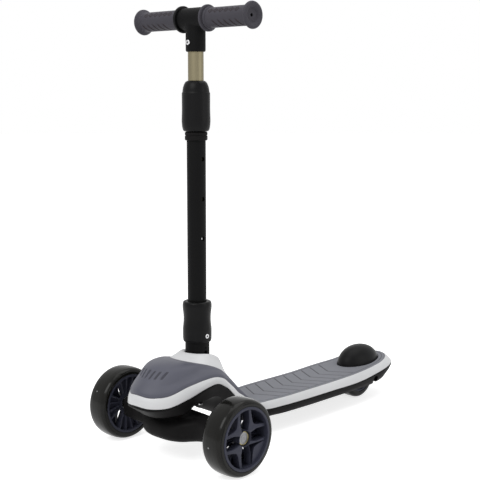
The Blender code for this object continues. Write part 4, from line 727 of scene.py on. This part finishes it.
def base_keys():
    rows = []
    for row, edge, keel in zip(HEAD_KEYS, SKIRT_EDGE, KEEL_LINE):
        top, edge, keel = pull_in(row[0] - Z * 0.8), Vector(edge), Vector(keel)
        lip = top - Z * 3.0
        if edge == keel:
            rows.append([top] + [lip + (edge - lip) * k / 5 for k in range(6)])
        else:
            rows.append([top, lip, (lip + edge) / 2] + [edge + (keel - edge) * k / 3 for k in range(4)])
    plans = [(step(BAND_WIDTH, y) - 4.5, y, y) for y in STATIONS]
    plans += [(46.5 * c ** TAIL_SQUARE, TAIL_CENTRE + 88 * s ** TAIL_SQUARE, TAIL_CENTRE + 55 * s)
              for c, s in TAIL_TURNS]
    for row, (x, y, keel_y) in zip(DECK_KEYS, plans):
        top = pull_in(row[0] - Z * 0.8)
        lip = top - Z * 3.0
        line = [over(BASE_BOTTOM, x - x * share, y + (keel_y - y) * share)
                for share in (0.0, 1 / 3, 2 / 3, 1.0)]
        swell = (X if line[0].x > 0 else Y) * 1.2
        rows.append([top, lip, (lip + line[0]) / 2 + swell] + line)
    return rows


def base_tub():
    keys, fine = base_keys(), []
    for row in half_body(keys, gap_steps(keys, 2.2)):
        side = row[:2] + across(row[1:4], [5, 5])[1:]
        floor = [a.lerp(b, k / 3) for a, b in zip(row[3:6], row[4:7]) for k in (1, 2, 3)]
        fine.append(list(reversed(side + floor)))
    obj = skin("base_tub_skin", both_sides(grid(fine)))
    solidify(obj, 2.5, 0.5)
    cut(obj, block((-WHEEL_WELL_HALF, 415, 20), (WHEEL_WELL_HALF, 505, 62), 0.2))
    for side in (1, -1):
        cut(obj, rod(7.5, 24.7, 70, REAR_WHEEL, X * side, 48))
    finish(obj, PLASTIC, "base_tub")
    inner = []
    for side in (1, -1):
        for reach, low, high, bevel in ((24.7, (438, 33.6), (478, 52), 0.4),
                                        (23.2, (409, 34.2), (420.5, 57.5), 0.6)):
            near, far = sorted((side * WHEEL_WELL_HALF, side * reach))
            inner.append(block((near, *low), (far, *high), bevel))
    inner += [pipe(4.5, 2.1, foot, 98.7, (side * x, y, 0), Z, 32)
              for x, y, foot in ((31, 21, 86.0), (27, 63, 62.5)) for side in (1, -1)]
    piece("base_ribs", joined(*inner), PLASTIC, "base_tub")


# Brake

def dome_skin():
    rings, turns = 40, 96
    rows = []
    for i in range(rings + 1):
        t = radians(89.9 * i / rings)
        width, rise = cos(t) ** 0.92, sin(t) ** 1.05
        plan = [(DOME_X * width * sin(a), DOME_C - DOME_Y * width * cos(a)) for a in full_turn(turns)]
        rows.append([Vector((x, y, DOME_Z + DOME_H * rise + (y - DOME_C) * 0.05 * (1 - rise)))
                     for x, y in plan])
    verts, faces = grid(rows, closed=True)
    top = len(verts)
    verts.append(Vector((0, DOME_C, DOME_Z + DOME_H)))
    faces += [(rings * turns + k, rings * turns + (k + 1) % turns, top) for k in range(turns)]
    return verts, faces


def brake():
    obj = skin("brake_dome", dome_skin())
    if sum(f.normal.z for f in obj.data.polygons) < 0:
        obj.data.flip_normals()
    solidify(obj, 2.5, 0.4)
    room = 40.8
    slot = arc(room, 90 + 76.4, 270 + 76.4, 60) + arc(room, 76.4 - 90, 76.4 + 90, 60, (0.62, 2.55))
    cut(obj, plate([slot], -17.1, 17.1, REAR_WHEEL, X, 0))
    finish(obj, RUBBER, "brake_fender")
    back = DOME_C - DOME_Y * 0.755 - BRAKE_PIN[1]
    rise = DOME_Z - BRAKE_PIN[2]
    outline = arc(4.6, 95, 265, 20) + [(back - 4, -3.0), (back + 9.0, 3.0), (back + 11.0, rise + 6.0),
                                       (back + 3.0, rise + 4.0), (back + 1.0, 4.0)]
    half = 1.6
    middle = WHEEL_WELL_HALF - 0.3 - half
    lugs = [plate([outline, arc(2.85, 0, 350, 35)], -half, half, (side * middle, *BRAKE_PIN[1:]), X, 0.3)
            for side in (1, -1)]
    piece("brake_lugs", joined(*lugs), RUBBER, "brake_fender")
    pad_top = [(y, DOME_H * sqrt(1 - ((y + REAR_WHEEL[1] - DOME_C) / DOME_Y) ** 2) + DOME_Z - 2.0
                - REAR_WHEEL[2]) for y in (-11, -6, -1, 4, 9)]
    piece("brake_pad", plate([arc(43.2, 77, 105, 16) + pad_top], -8.0, 8.0, REAR_WHEEL, X, 0.3), RUBBER,
          "brake_fender")


# Truck

TRUCK_SECTIONS = ((0, -2, 51, 46, 20.5, 2.5), (20, -2, 51, 44.5, 20.2, 2.5), (36, -1.5, 52, 39, 19.8, 2.6),
                  (50, -0.5, 54.3, 28.5, 19.4, 2.8), (64, 0, 56.6, 21.5, 19.2, 3.0),
                  (85, 0, 57.6, 19.5, 19, 3.3), (111, 0, 58.2, 18, 18.2, 3.3))
KING = Vector((0, 0, 55))
RAKE = radians(32)
KING_AXIS = Vector((0, -sin(RAKE), cos(RAKE)))


def truck():
    def squared(value, power):
        return copysign(abs(value) ** (2 / power), value)

    keys = [[Vector((x, yc + hy * squared(cos(a), power), zc + hz * squared(sin(a), power)))
             for a in full_turn(72)] for x, yc, zc, hy, hz, power in TRUCK_SECTIONS]
    rows = curve_through(keys, [9, 8, 7, 7, 8, 8], first=mirrored(keys[1]))
    last, end = rows[-1], TRUCK_SECTIONS[-1][0]
    centre = Vector((end, 0, TRUCK_SECTIONS[-1][2]))
    rows[-1] = [Vector((end - 0.8, p.y, p.z)) for p in last]
    rows += [[centre + (Vector((end, p.y, p.z)) - centre) * size for p in last] for size in (0.96, 0.02)]
    obj = skin("truck_body", both_sides(grid(rows, closed=True)))
    close_ends(obj)
    cut(obj, rod(17.0, 12.0, 50.0, KING, KING_AXIS, 64))
    cut(obj, rod(12.5, -50.0, -8.0, KING, KING_AXIS, 64))
    finish(obj, PLASTIC, "steering_truck")
    bosses = [pipe(8.0, 4.1, 105, 122.2, (0, 0, FRONT_Z), X * side, 48) for side in (1, -1)]
    piece("axle_bosses", joined(*bosses), PLASTIC, "steering_truck")


def close_ends(obj):
    b = bmesh.new()
    b.from_mesh(obj.data)
    rim = [e for e in b.edges if e.is_boundary]
    if rim:
        bmesh.ops.holes_fill(b, edges=rim)
    bmesh.ops.recalc_face_normals(b, faces=b.faces)
    b.to_mesh(obj.data)
    b.free()


# Front wheels

RIM = 49.1
WALL = RIM - 4.2


def wheel_windows():
    """The hub's openings: one inside each forked spoke and one between two of them."""
    rim = WALL + 0.8
    half = degrees(2.3 / rim)
    knees = [turn([(30.0, 0)], angle) for angle in (-12.5, 12.5)]
    fork = [(26.5, 0.0)] + knees[0] + arc(rim, half - 31, 31 - half, 14) + knees[1]
    side = turn([(12.9, 0)], 15) + turn([(26.2, 0)], 23)
    other = turn([(x, -y) for x, y in side], 90)
    gap = side + arc(rim, 31 + half, 59 - half, 8) + other[::-1] + arc(12.9, 75, 15, 12)[1:-1]
    return soft(fork, 1.6), soft(gap, 1.6)


def tread_line():
    """Half of the tyre's outside with a fine groove at the shoulder, mirrored, and its foot."""
    keys = ((50.6, 19.8), (53.0, 19.6), (55.6, 18.6), (58.3, 15.2), (59.6, 9.0), (60.0, 0))
    line = [(49.4, 19.2), (49.9, 19.7)] + smooth_profile(keys, 7)
    at = [i for i, (r, h) in enumerate(line) if r > 54.2][0]
    r, h = line[at]
    line[at:at + 1] = [(r - 0.25, h + 0.02), (r - 0.05, h - 0.42), (r + 0.3, h - 0.36), (r + 0.5, h - 0.12)]
    return line + [(q, -z) for q, z in reversed(line[:-1])] + [(49.4, -4.3), (51.0, 0), (49.4, 4.3)]


def front_wheels():
    fork, gap = wheel_windows()
    barrel = soft([(RIM, 20.5), (RIM, 4.0), (RIM + 1.6, 0), (RIM, -4.0), (RIM, -19.0), (WALL, -19.0),
                   (WALL, 20.5)], 0.7)
    boss = soft([(13.2, 10.4), (13.2, -10.5), (11.3, -10.5), (11.3, -3.2), (9.2, -3.2), (9.2, 0.7),
                 (11.3, 0.7), (11.3, 10.4)], 0.3)
    web = ([arc(RIM - 2.1, 0, 357, 119), arc(12.2, 0, 350, 35)]
           + [turn(window, 90 * k + 47) for window in (fork, gap) for k in range(4)])
    sector = [(12.8, -3.2), *turn([(44.9, 0)], -27), *arc(45.2, -27, 27, 12), (12.8, 3.2)]
    cap = soft([(0, 13.0), (2.0, 12.98), (2.0, 12.4), (2.7, 12.4), (2.7, 12.95), (5.6, 12.85), (5.6, 12.2),
                (6.4, 12.2), (6.4, 12.75), (9.9, 12.2), (10.7, 11.2), (10.7, 8.3), (6.8, 8.3), (6.8, 11.6),
                (0, 11.6)], 0.2)
    cap_ring = soft([(11.2, 9.2), (11.2, 11.1), (10.6, 12.2), (9.5, 12.6), (9.1, 12.1), (10.4, 9.2)], 0.12)
    for side, word, dot in ((1, "left", -176.2), (-1, "right", 152.8)):
        centre, out = Vector((side * TRACK_HALF, 0, FRONT_Z)), X * side
        piece("tyre_" + word, lathe(tread_line(), centre, out, 144), TYRE, "front_tyre_" + word, 30)
        way = Vector((0, cos(radians(dot)), sin(radians(dot))))
        piece("tread_pip_" + word, rod(1.3, 58.5, 59.98, centre - X * 2.2, way, 32, 0.1), CAP,
              "front_tyre_" + word)
        hub = joined(lathe(barrel, centre, out, 144), plate(web, 2.5, 16.0, centre, out, 0.5),
                     lathe(boss, centre, out, 64))
        piece("hub_" + word, hub, HUB, "front_hub_" + word)
        ribs = [pipe(17.6, 12.8, -9.2, -7.0, centre, out, 64)]
        for k in range(4):
            spine = 92 + 90 * k
            ribs += [fan_rib(centre, out, spine + lean) for lean in (-27, -9, 9, 27)]
            ribs.append(plate([turn(sector, spine)], -9.0, -7.2, centre, out, 0.2))
        piece("hub_fans_" + word, joined(*ribs), HUB, "front_hub_" + word)
        piece("cap_" + word, lathe(cap, centre, out, 64), CAP, "wheel_cap_" + word)
        piece("cap_ring_" + word, lathe(cap_ring, centre, out, 64), BRASS, "wheel_cap_" + word)


def fan_rib(centre, out, angle):
    """A thin radial rib that deepens from the hub to the rim."""
    u, v, w = frame_of(out)
    a, half = radians(angle), 1.0
    d, t = u * cos(a) + v * sin(a), v * cos(a) - u * sin(a)
    points = [centre + d * r + w * h + t * s
              for r, low, high in ((12.6, -9.5, -1.5), (45.2, -17.0, -3.5))
              for h in (low, high) for s in (-half, half)]
    return points, [(0, 1, 3, 2), (4, 6, 7, 5), (0, 4, 5, 1), (2, 3, 7, 6), (0, 2, 6, 4), (1, 5, 7, 3)]


def rear_wheel():
    tread = soft([(29.0, 14.0), (29.6, 14.5), (34.6, 14.5), (38.4, 12.4), (40.0, 8.5), (40.0, -8.5),
                  (38.4, -12.4), (34.6, -14.5), (29.6, -14.5), (29.0, -14.0), (29.0, -4.3), (30.6, 0),
                  (29.0, 4.3)], 1.6)
    piece("rear_tyre_skin", lathe(tread, REAR_WHEEL, X, 112), TYRE, "rear_tyre", 30)
    half = [(30.3, 0), (28.7, -4), (28.7, -14), (25.7, -14), (24.7, -8), (14.2, -8), (13.2, -12.5),
            (11.3, -12.5), (11.3, -6), (9.2, -6)]
    hub = [(28.7, 14), (28.7, 4)] + half + [(r, -h) for r, h in reversed(half[3:])]
    piece("rear_hub_skin", lathe(soft(hub, 0.6), REAR_WHEEL, X), HUB, "rear_hub")


# Stem

STEM = Vector((0, 45, 0))


def slotted(obj, radius, low, high, at, rise):
    """Cuts an upright slot with round ends."""
    cut(obj, plate([arc(radius, 180, 360, 16) + arc(radius, 0, 180, 16, (0, rise))], low, high, at, X, 0.1))


def stem():
    neck = soft([(0, 236), (19.45, 236), (19.45, 155), (16.45, 152), (0, 152)], 0.6)
    lug = arc(14.5, 180, 360, 40) + [(14.5, 30), (-14.5, 30)]
    obj = skin("neck_skin", lathe(neck, STEM))
    cut(obj, plate([lug], -11.9, 11.9, FOLD_PIN, X, 0.4), "UNION")
    cut(obj, rod(4.35, -30, 30, FOLD_PIN, X, 48))
    cut(obj, rod(15.2, 205.7, 260, STEM, Z, 96))
    cut(obj, rod(5.35, 142.45, 220, STEM, Z, 48))
    slotted(obj, 3.3, -30, 30, (0, 45, 149.4), 12.3)
    slotted(obj, 2.8, 0, 22, COLLAR_SCREW, 12.3)
    cut(obj, rod(2.2, 8.5, 30, NECK_SCREW, X, 32))
    finish(obj, PAINTED, "neck")
    tip = soft([(0, 18.85), (1.045, 18.85), (1.14, 19.85), (1.9, 19.75), (1.9, 8.8), (0, 8.8)], 0.12)
    piece("neck_screw", hex_head(tip, NECK_SCREW, X, 1.178), PAINTED, "neck_set_screw")
    obj = skin("outer_tube_skin", pipe(14.9, 12.5, 206, 574, STEM, Z, 96, 0.4))
    for k in range(3):
        cut(obj, rod(3.6, 5, 20, (0, 45, BUTTON[2] + HOLE_STEP * k), X, 48))
    finish(obj, PAINTED, "outer_tube")
    ring = soft([(16.0, 511.5), (17.7, 510), (17.7, 506.5), (16.9, 505.8), (16.9, 505.3), (17.8, 504.6),
                 (17.8, 499.2), (16.8, 498), (15.2, 498), (15.2, 511.5)], 0.4)
    piece("thread_ring_skin", lathe(ring, STEM), PLASTIC, "thread_ring")
    piece("collet_skin", pipe(15.0, 12.55, 574.3, 585, STEM, Z, 64), AMBER, "collet")
    collar()
    sleeve()
    upper()


def smooth_profile(points, steps=5):
    line = across([Vector((r, h, 0)) for r, h in points], steps)
    return [(p.x, p.y) for p in line]


def collar():
    side = smooth_profile([(22.6, 241.0), (23.25, 237.5), (23.2, 232.5), (22.4, 225.5), (21.85, 218.5),
                           (21.85, 212.5), (22.4, 205.0), (23.0, 199.5), (23.05, 190.0), (22.95, 182.0)])
    top = soft([(16.45, 243.5), (19.9, 243.2), (22.0, 242.2)], 0.8, ends=True)
    profile = top + side + [(22.5, 179.2), (21.6, 178.1), (20.6, 178.0), (19.85, 178.6), (19.85, 236.3),
                            (15.3, 236.3), (15.3, 242.6), (15.7, 243.4)]
    obj = skin("collar_skin", lathe(profile, STEM, Z, 112))
    cut(obj, rod(3.9, 20.9, 30, COLLAR_SCREW, X, 48))
    cut(obj, rod(2.8, 15, 30, COLLAR_SCREW, X, 32))
    finish(obj, RUBBER, "release_collar", 40)
    head = soft([(0, 21.6), (1.75, 21.6), (1.8, 23.2), (3.3, 23.2), (3.6, 22.8), (3.6, 21.2), (2.5, 21.2),
                 (2.5, -3.0), (0, -3.0)], 0.15)
    socket_screw("collar_screw", head, COLLAR_SCREW, X, 1.85, 21.5, 1.62)


def hex_head(profile, centre, axis, socket):
    """A turned screw whose socket is six sided: the inner points follow a hexagon."""
    verts, faces = lathe(profile, centre, axis, 48)
    u, v, w = frame_of(axis)
    c = Vector(centre)
    for p in verts:
        d = p - c
        h = d.dot(w)
        flat = d - w * h
        if 0 < flat.length < socket and h > 5:
            a = atan2(flat.dot(v), flat.dot(u)) % (pi / 3) - pi / 6
            p -= flat * (1 - cos(pi / 6) / cos(a) * 1.08)
    return verts, faces


def socket_screw(name, head, at, axis, socket, floor, flat):
    """A screw whose socket ends in a six-sided floor painted near black as shade."""
    piece(name + "_skin", hex_head(head, at, axis, socket), STEEL, name)
    # Painted shade: a near-black disc at the socket's floor.
    piece(name + "_socket", rod(flat, floor, floor + 0.5, at, axis, 6), SOCKET_SHADE, name)


def sleeve():
    shoulder = smooth_profile([(13.8, 589.8), (16.2, 588.0), (18.4, 584.4), (20.2, 578.8), (21.0, 573.2)], 5)
    body = [(21.15, 572.2), (21.9, 571.4), (22.0, 570.6)] + smooth_profile(
        [(22.0, 569.0), (22.0, 545.0), (22.0, 521.5), (21.3, 517.0), (20.2, 513.6)], 5)
    inner = [(18.6, 512.2), (17.8, 512.0), (15.25, 512.0), (15.25, 572.0), (15.35, 572.0), (15.35, 585.3),
             (12.55, 585.3), (12.55, 589.2), (13.0, 590.0)]
    piece("lock_sleeve_skin", lathe(shoulder + body + inner, STEM, Z, 112), RUBBER, "lock_sleeve", 40)


def upper():
    wall = [(12.2, 659.6 - 1.2 * k) for k in range(275)]
    line = [(12.0, 660)] + wall + [(12.0, 330), (11.1, 330), (10.9, 330.3), (10.9, 659.7), (11.1, 660)]
    tube = skin("inner_tube_skin", lathe(line, STEM))
    cut(tube, rod(3.6, 5, 20, BUTTON, X, 48))
    cut(tube, rod(2.4, 5, 20, TEE_SCREW, -Y, 32))
    top_hole = BUTTON[2] + 2 * HOLE_STEP
    # Painted shade: the tube is darker below its top hole, and round that hole on the button's side, as if
    # shaded by the outer tube.
    store_painted_shade(tube, lambda p: float(p.z < top_hole - 8 or (
        p.x > 0 and hypot(p.y - STEM.y, p.z - top_hole) < 4.4)))
    finish(tube, GOLD, "inner_tube")
    tee()
    grips()
    knob = soft([(0, 11.9), (1.6, 11.8), (2.8, 11.3), (3.3, 10.5), (3.3, 9.0), (4.5, 9.0), (4.5, 8.0),
                 (0, 8.0)], 0.3)
    piece("button_skin", lathe(knob, BUTTON, X, 48), STEEL, "snap_button")


def tee():
    post = soft([(0, 684), (15.5, 684), (15.5, 636), (14.6, 634), (0, 634)], 0.8)
    barrel = soft([(0, 25), (17.2, 25), (17.2, -25), (0, -25)], 1.0)
    obj = skin("tee_skin", lathe(post, STEM))
    cut(obj, lathe(barrel, BAR, X), "UNION")
    remesh = obj.modifiers.new("even", "REMESH")
    remesh.mode = "VOXEL"
    remesh.voxel_size = 0.0006
    soften = obj.modifiers.new("fillet", "SMOOTH")
    soften.factor = 0.5
    soften.iterations = 12
    apply_all(obj)
    cut(obj, rod(12.5, 600, 660.3, STEM, Z, 96))
    cut(obj, rod(11.3, -40, 40, BAR, X, 96))
    cut(obj, rod(2.4, 10, 30, TEE_SCREW, -Y, 32))
    finish(obj, PAINTED, "handlebar_tee", 40)
    head = soft([(0, 16.5), (1.6, 16.5), (1.65, 18.0), (3.3, 18.0), (3.95, 17.0), (4.0, 15.8), (2.1, 15.8),
                 (2.1, 10.5), (0, 10.5)], 0.15)
    socket_screw("tee_screw", head, TEE_SCREW, -Y, 1.7, 16.4, 1.48)


def grip_relief(s, a, side):
    """Depth of five slanting grooves that run from the grip's front round to its underside."""
    turn_down = (degrees(a) + 90) / 90
    if not 0.16 < turn_down < 1.2:
        return 0.0
    depth = 0.0
    for k in range(5):
        middle = 55 + 12 * k + side * 17 * (turn_down - 0.5)
        depth = max(depth, clamped((1.8 - abs(s - middle) * 0.82) / 0.9))
    return depth * min(1.0, (turn_down - 0.16) / 0.16, (1.2 - turn_down) / 0.2)


def grip_marks(s, a):
    """Raised outlines of lozenges, one row on the grip's upper front, each round a small boss."""
    u, v = (s - 45) / 11.0, (degrees(a) + 128) / 33.0
    if abs(v) > 0.62 or not -0.55 < u < 5.55:
        return 0.0
    far = abs(u - round(u)) * 2 + abs(v) * 1.9
    return max(clamped((0.24 - abs(far - 0.76)) / 0.10), clamped((0.26 - far) / 0.10))


GRIP_RADIUS, GRIP_START, GRIP_END = 15.35, 25.3, 114.6


def grips():
    end = soft([(2.5, 117.4), (2.5, 118.5), (9.5, 118.5), (12.2, 121.4), (15.5, 123.2), (18.9, 123.0),
                (20.4, 121.0), (20.4, 118.8), (19.2, 117.7), (16.0, 115.4)], 0.9, ends=True)
    flange = soft([(r, GRIP_START + h) for r, h in ((15.5, 10.6), (17.2, 9.6), (17.2, 7.2), (15.6, 5.8),
                                                    (15.6, 4.9), (18.0, 4.6), (20.4, 3.9), (20.4, 1.0),
                                                    (19.4, 0.05))], 0.7, ends=True)
    plain_low = GRIP_START + 4.3
    plain = soft([(15.3, plain_low + 0.9), (14.6, plain_low + 0.1)], 0.3, ends=True)
    count = 170
    for side, word, low, first, near in ((1, "left", GRIP_START, GRIP_START + 11.5, flange),
                                         (-1, "right", plain_low, plain_low + 1.4, plain)):
        body = [(GRIP_RADIUS, GRIP_END + (first - GRIP_END) * k / count) for k in range(count + 1)]

        def relief(r, h, d):
            if abs(r - GRIP_RADIUS) > 0.01:
                return r
            a = atan2(d.y, -d.z)
            return r - 0.75 * grip_relief(h, a, side) + 0.42 * grip_marks(h, a)

        # Painted shade: darker in the grooves and along the raised lozenge outlines.
        def painted_shade_mask(p):
            s, y, z = abs(p.x), p.y - BAR[1], p.z - BAR[2]
            if hypot(y, z) > 16 or not first - 0.01 < s < GRIP_END + 0.01:
                return 0.0
            return grip_relief(s, atan2(y, -z), side) + 0.9 * grip_marks(s, atan2(y, -z))

        profile = end + body + near + [(11.3, low + 0.05), (11.3, 117.4)]
        obj = skin("grip_skin_" + word, lathe(profile, BAR, X * side, 160, relief=relief))
        store_painted_shade(obj, painted_shade_mask)
        finish(obj, GRIP, "grip_" + word, 40)
    piece("spacer_ring_skin", pipe(20.8, 11.3, 25.3, 29.3, BAR, -X, 96, 0.8), RUBBER, "spacer_ring")


# Materials of the nodes whose shape stays

KEPT = {name: mat for mat, names in (
    (STEEL, "kingpin kingpin_nut fold_pin rear_axle rear_axle_nut brake_pin lock_rod lock_pin crossbar"),
    (SPRING, "brake_spring lock_spring snap_spring"), (CASTING, "head_frame spring_stop"),
    (AMBER, "truck_bushing_upper truck_bushing_lower")) for name in names.split()}


def keep_nodes():
    for name, obj in NODES.items():
        steel = any(word in name for word in ("bearing", "screw", "bolt"))
        mat = KEPT.get(name, STEEL if steel else PLASTIC)
        for entry in obj.material_slots:
            entry.material = mat
        if "spring" not in name:
            weld = obj.modifiers.new("weld", "WELD")
            weld.merge_threshold = 0.00001
            soften_edges(obj, 0.2, 40)


# Floor, light and camera

def seen_ray(tree):
    """1 for what the camera sees, straight or in a reflection or through glass."""
    path = add(tree, "LightPath")
    value = path.outputs["Is Camera Ray"]
    for name in ("Is Glossy Ray", "Is Transmission Ray"):
        larger = add(tree, "Math")
        larger.operation = "MAXIMUM"
        tree.links.new(value, larger.inputs[0])
        tree.links.new(path.outputs[name], larger.inputs[1])
        value = larger.outputs[0]
    return value


def empty_tree(owner):
    owner.use_nodes = True
    owner.node_tree.nodes.clear()
    return owner.node_tree


def stage():
    b = bmesh.new()
    bmesh.ops.create_circle(b, cap_ends=True, radius=14.0, segments=96)
    mesh = bpy.data.meshes.new("floor")
    b.to_mesh(mesh)
    b.free()
    floor = place("floor", mesh)
    floor.location.z = -0.0004
    mat = bpy.data.materials.new("pale_floor")
    tree = empty_tree(mat)
    tone = mix_colour(tree, noise(tree, 3.0), (0.80, 0.80, 0.80), (0.82, 0.82, 0.82))
    both = add(tree, "AddShader")
    tree.links.new(add(tree, "BsdfDiffuse", Color=tone).outputs[0], both.inputs[0])
    glow = add(tree, "Emission", Color=(0.72, 0.72, 0.72, 1), Strength=seen_ray(tree))
    tree.links.new(glow.outputs[0], both.inputs[1])
    add(tree, "OutputMaterial", Surface=both.outputs[0])
    floor.data.materials.append(mat)


def sky():
    """Soft light on the object, and white for what is seen."""
    land = bpy.data.worlds.new("studio")
    bpy.context.scene.world = land
    tree = empty_tree(land)
    mix = add(tree, "MixShader")
    tree.links.new(seen_ray(tree), mix.inputs[0])
    for k, strength in ((1, 0.45), (2, 1.0)):
        light = add(tree, "Background", Color=(1, 1, 1, 1), Strength=strength)
        tree.links.new(light.outputs[0], mix.inputs[k])
    add(tree, "OutputWorld", Surface=mix.outputs[0])


def aimed(name, data, at, target):
    obj = place(name, data)
    obj.location = at
    obj.rotation_euler = (Vector(target) - Vector(at)).to_track_quat("-Z", "Y").to_euler()
    return obj


def lamp(name, at, target, size, power):
    light = bpy.data.lights.new(name, "AREA")
    light.shape = "RECTANGLE"
    light.size, light.size_y = size
    light.energy = power
    aimed(name, light, at, target)


def camera():
    data = bpy.data.cameras.new("view")
    data.lens = 78.63
    data.sensor_width = 36
    data.clip_start = 0.05
    bpy.context.scene.camera = aimed("view", data, (1.1865, -1.3266, 0.5677), (0.0229, -0.112, 0.3354))


keep_nodes()
white_shell()
head_cover()
deck_mat()
base_tub()
brake()
truck()
front_wheels()
rear_wheel()
stem()
stage()
sky()
lamp("key", (0.3, -2.2, 2.2), (0, 0, 0.3), (1.6, 1.6), 36)
lamp("top", (0.2, 0.3, 2.4), (0, 0, 0.1), (2.0, 2.0), 20)
lamp("side", (2.2, 0.8, 1.0), (0, 0, 0.3), (1.2, 1.6), 9)
camera()
bpy.context.scene.view_settings.view_transform = "Standard"
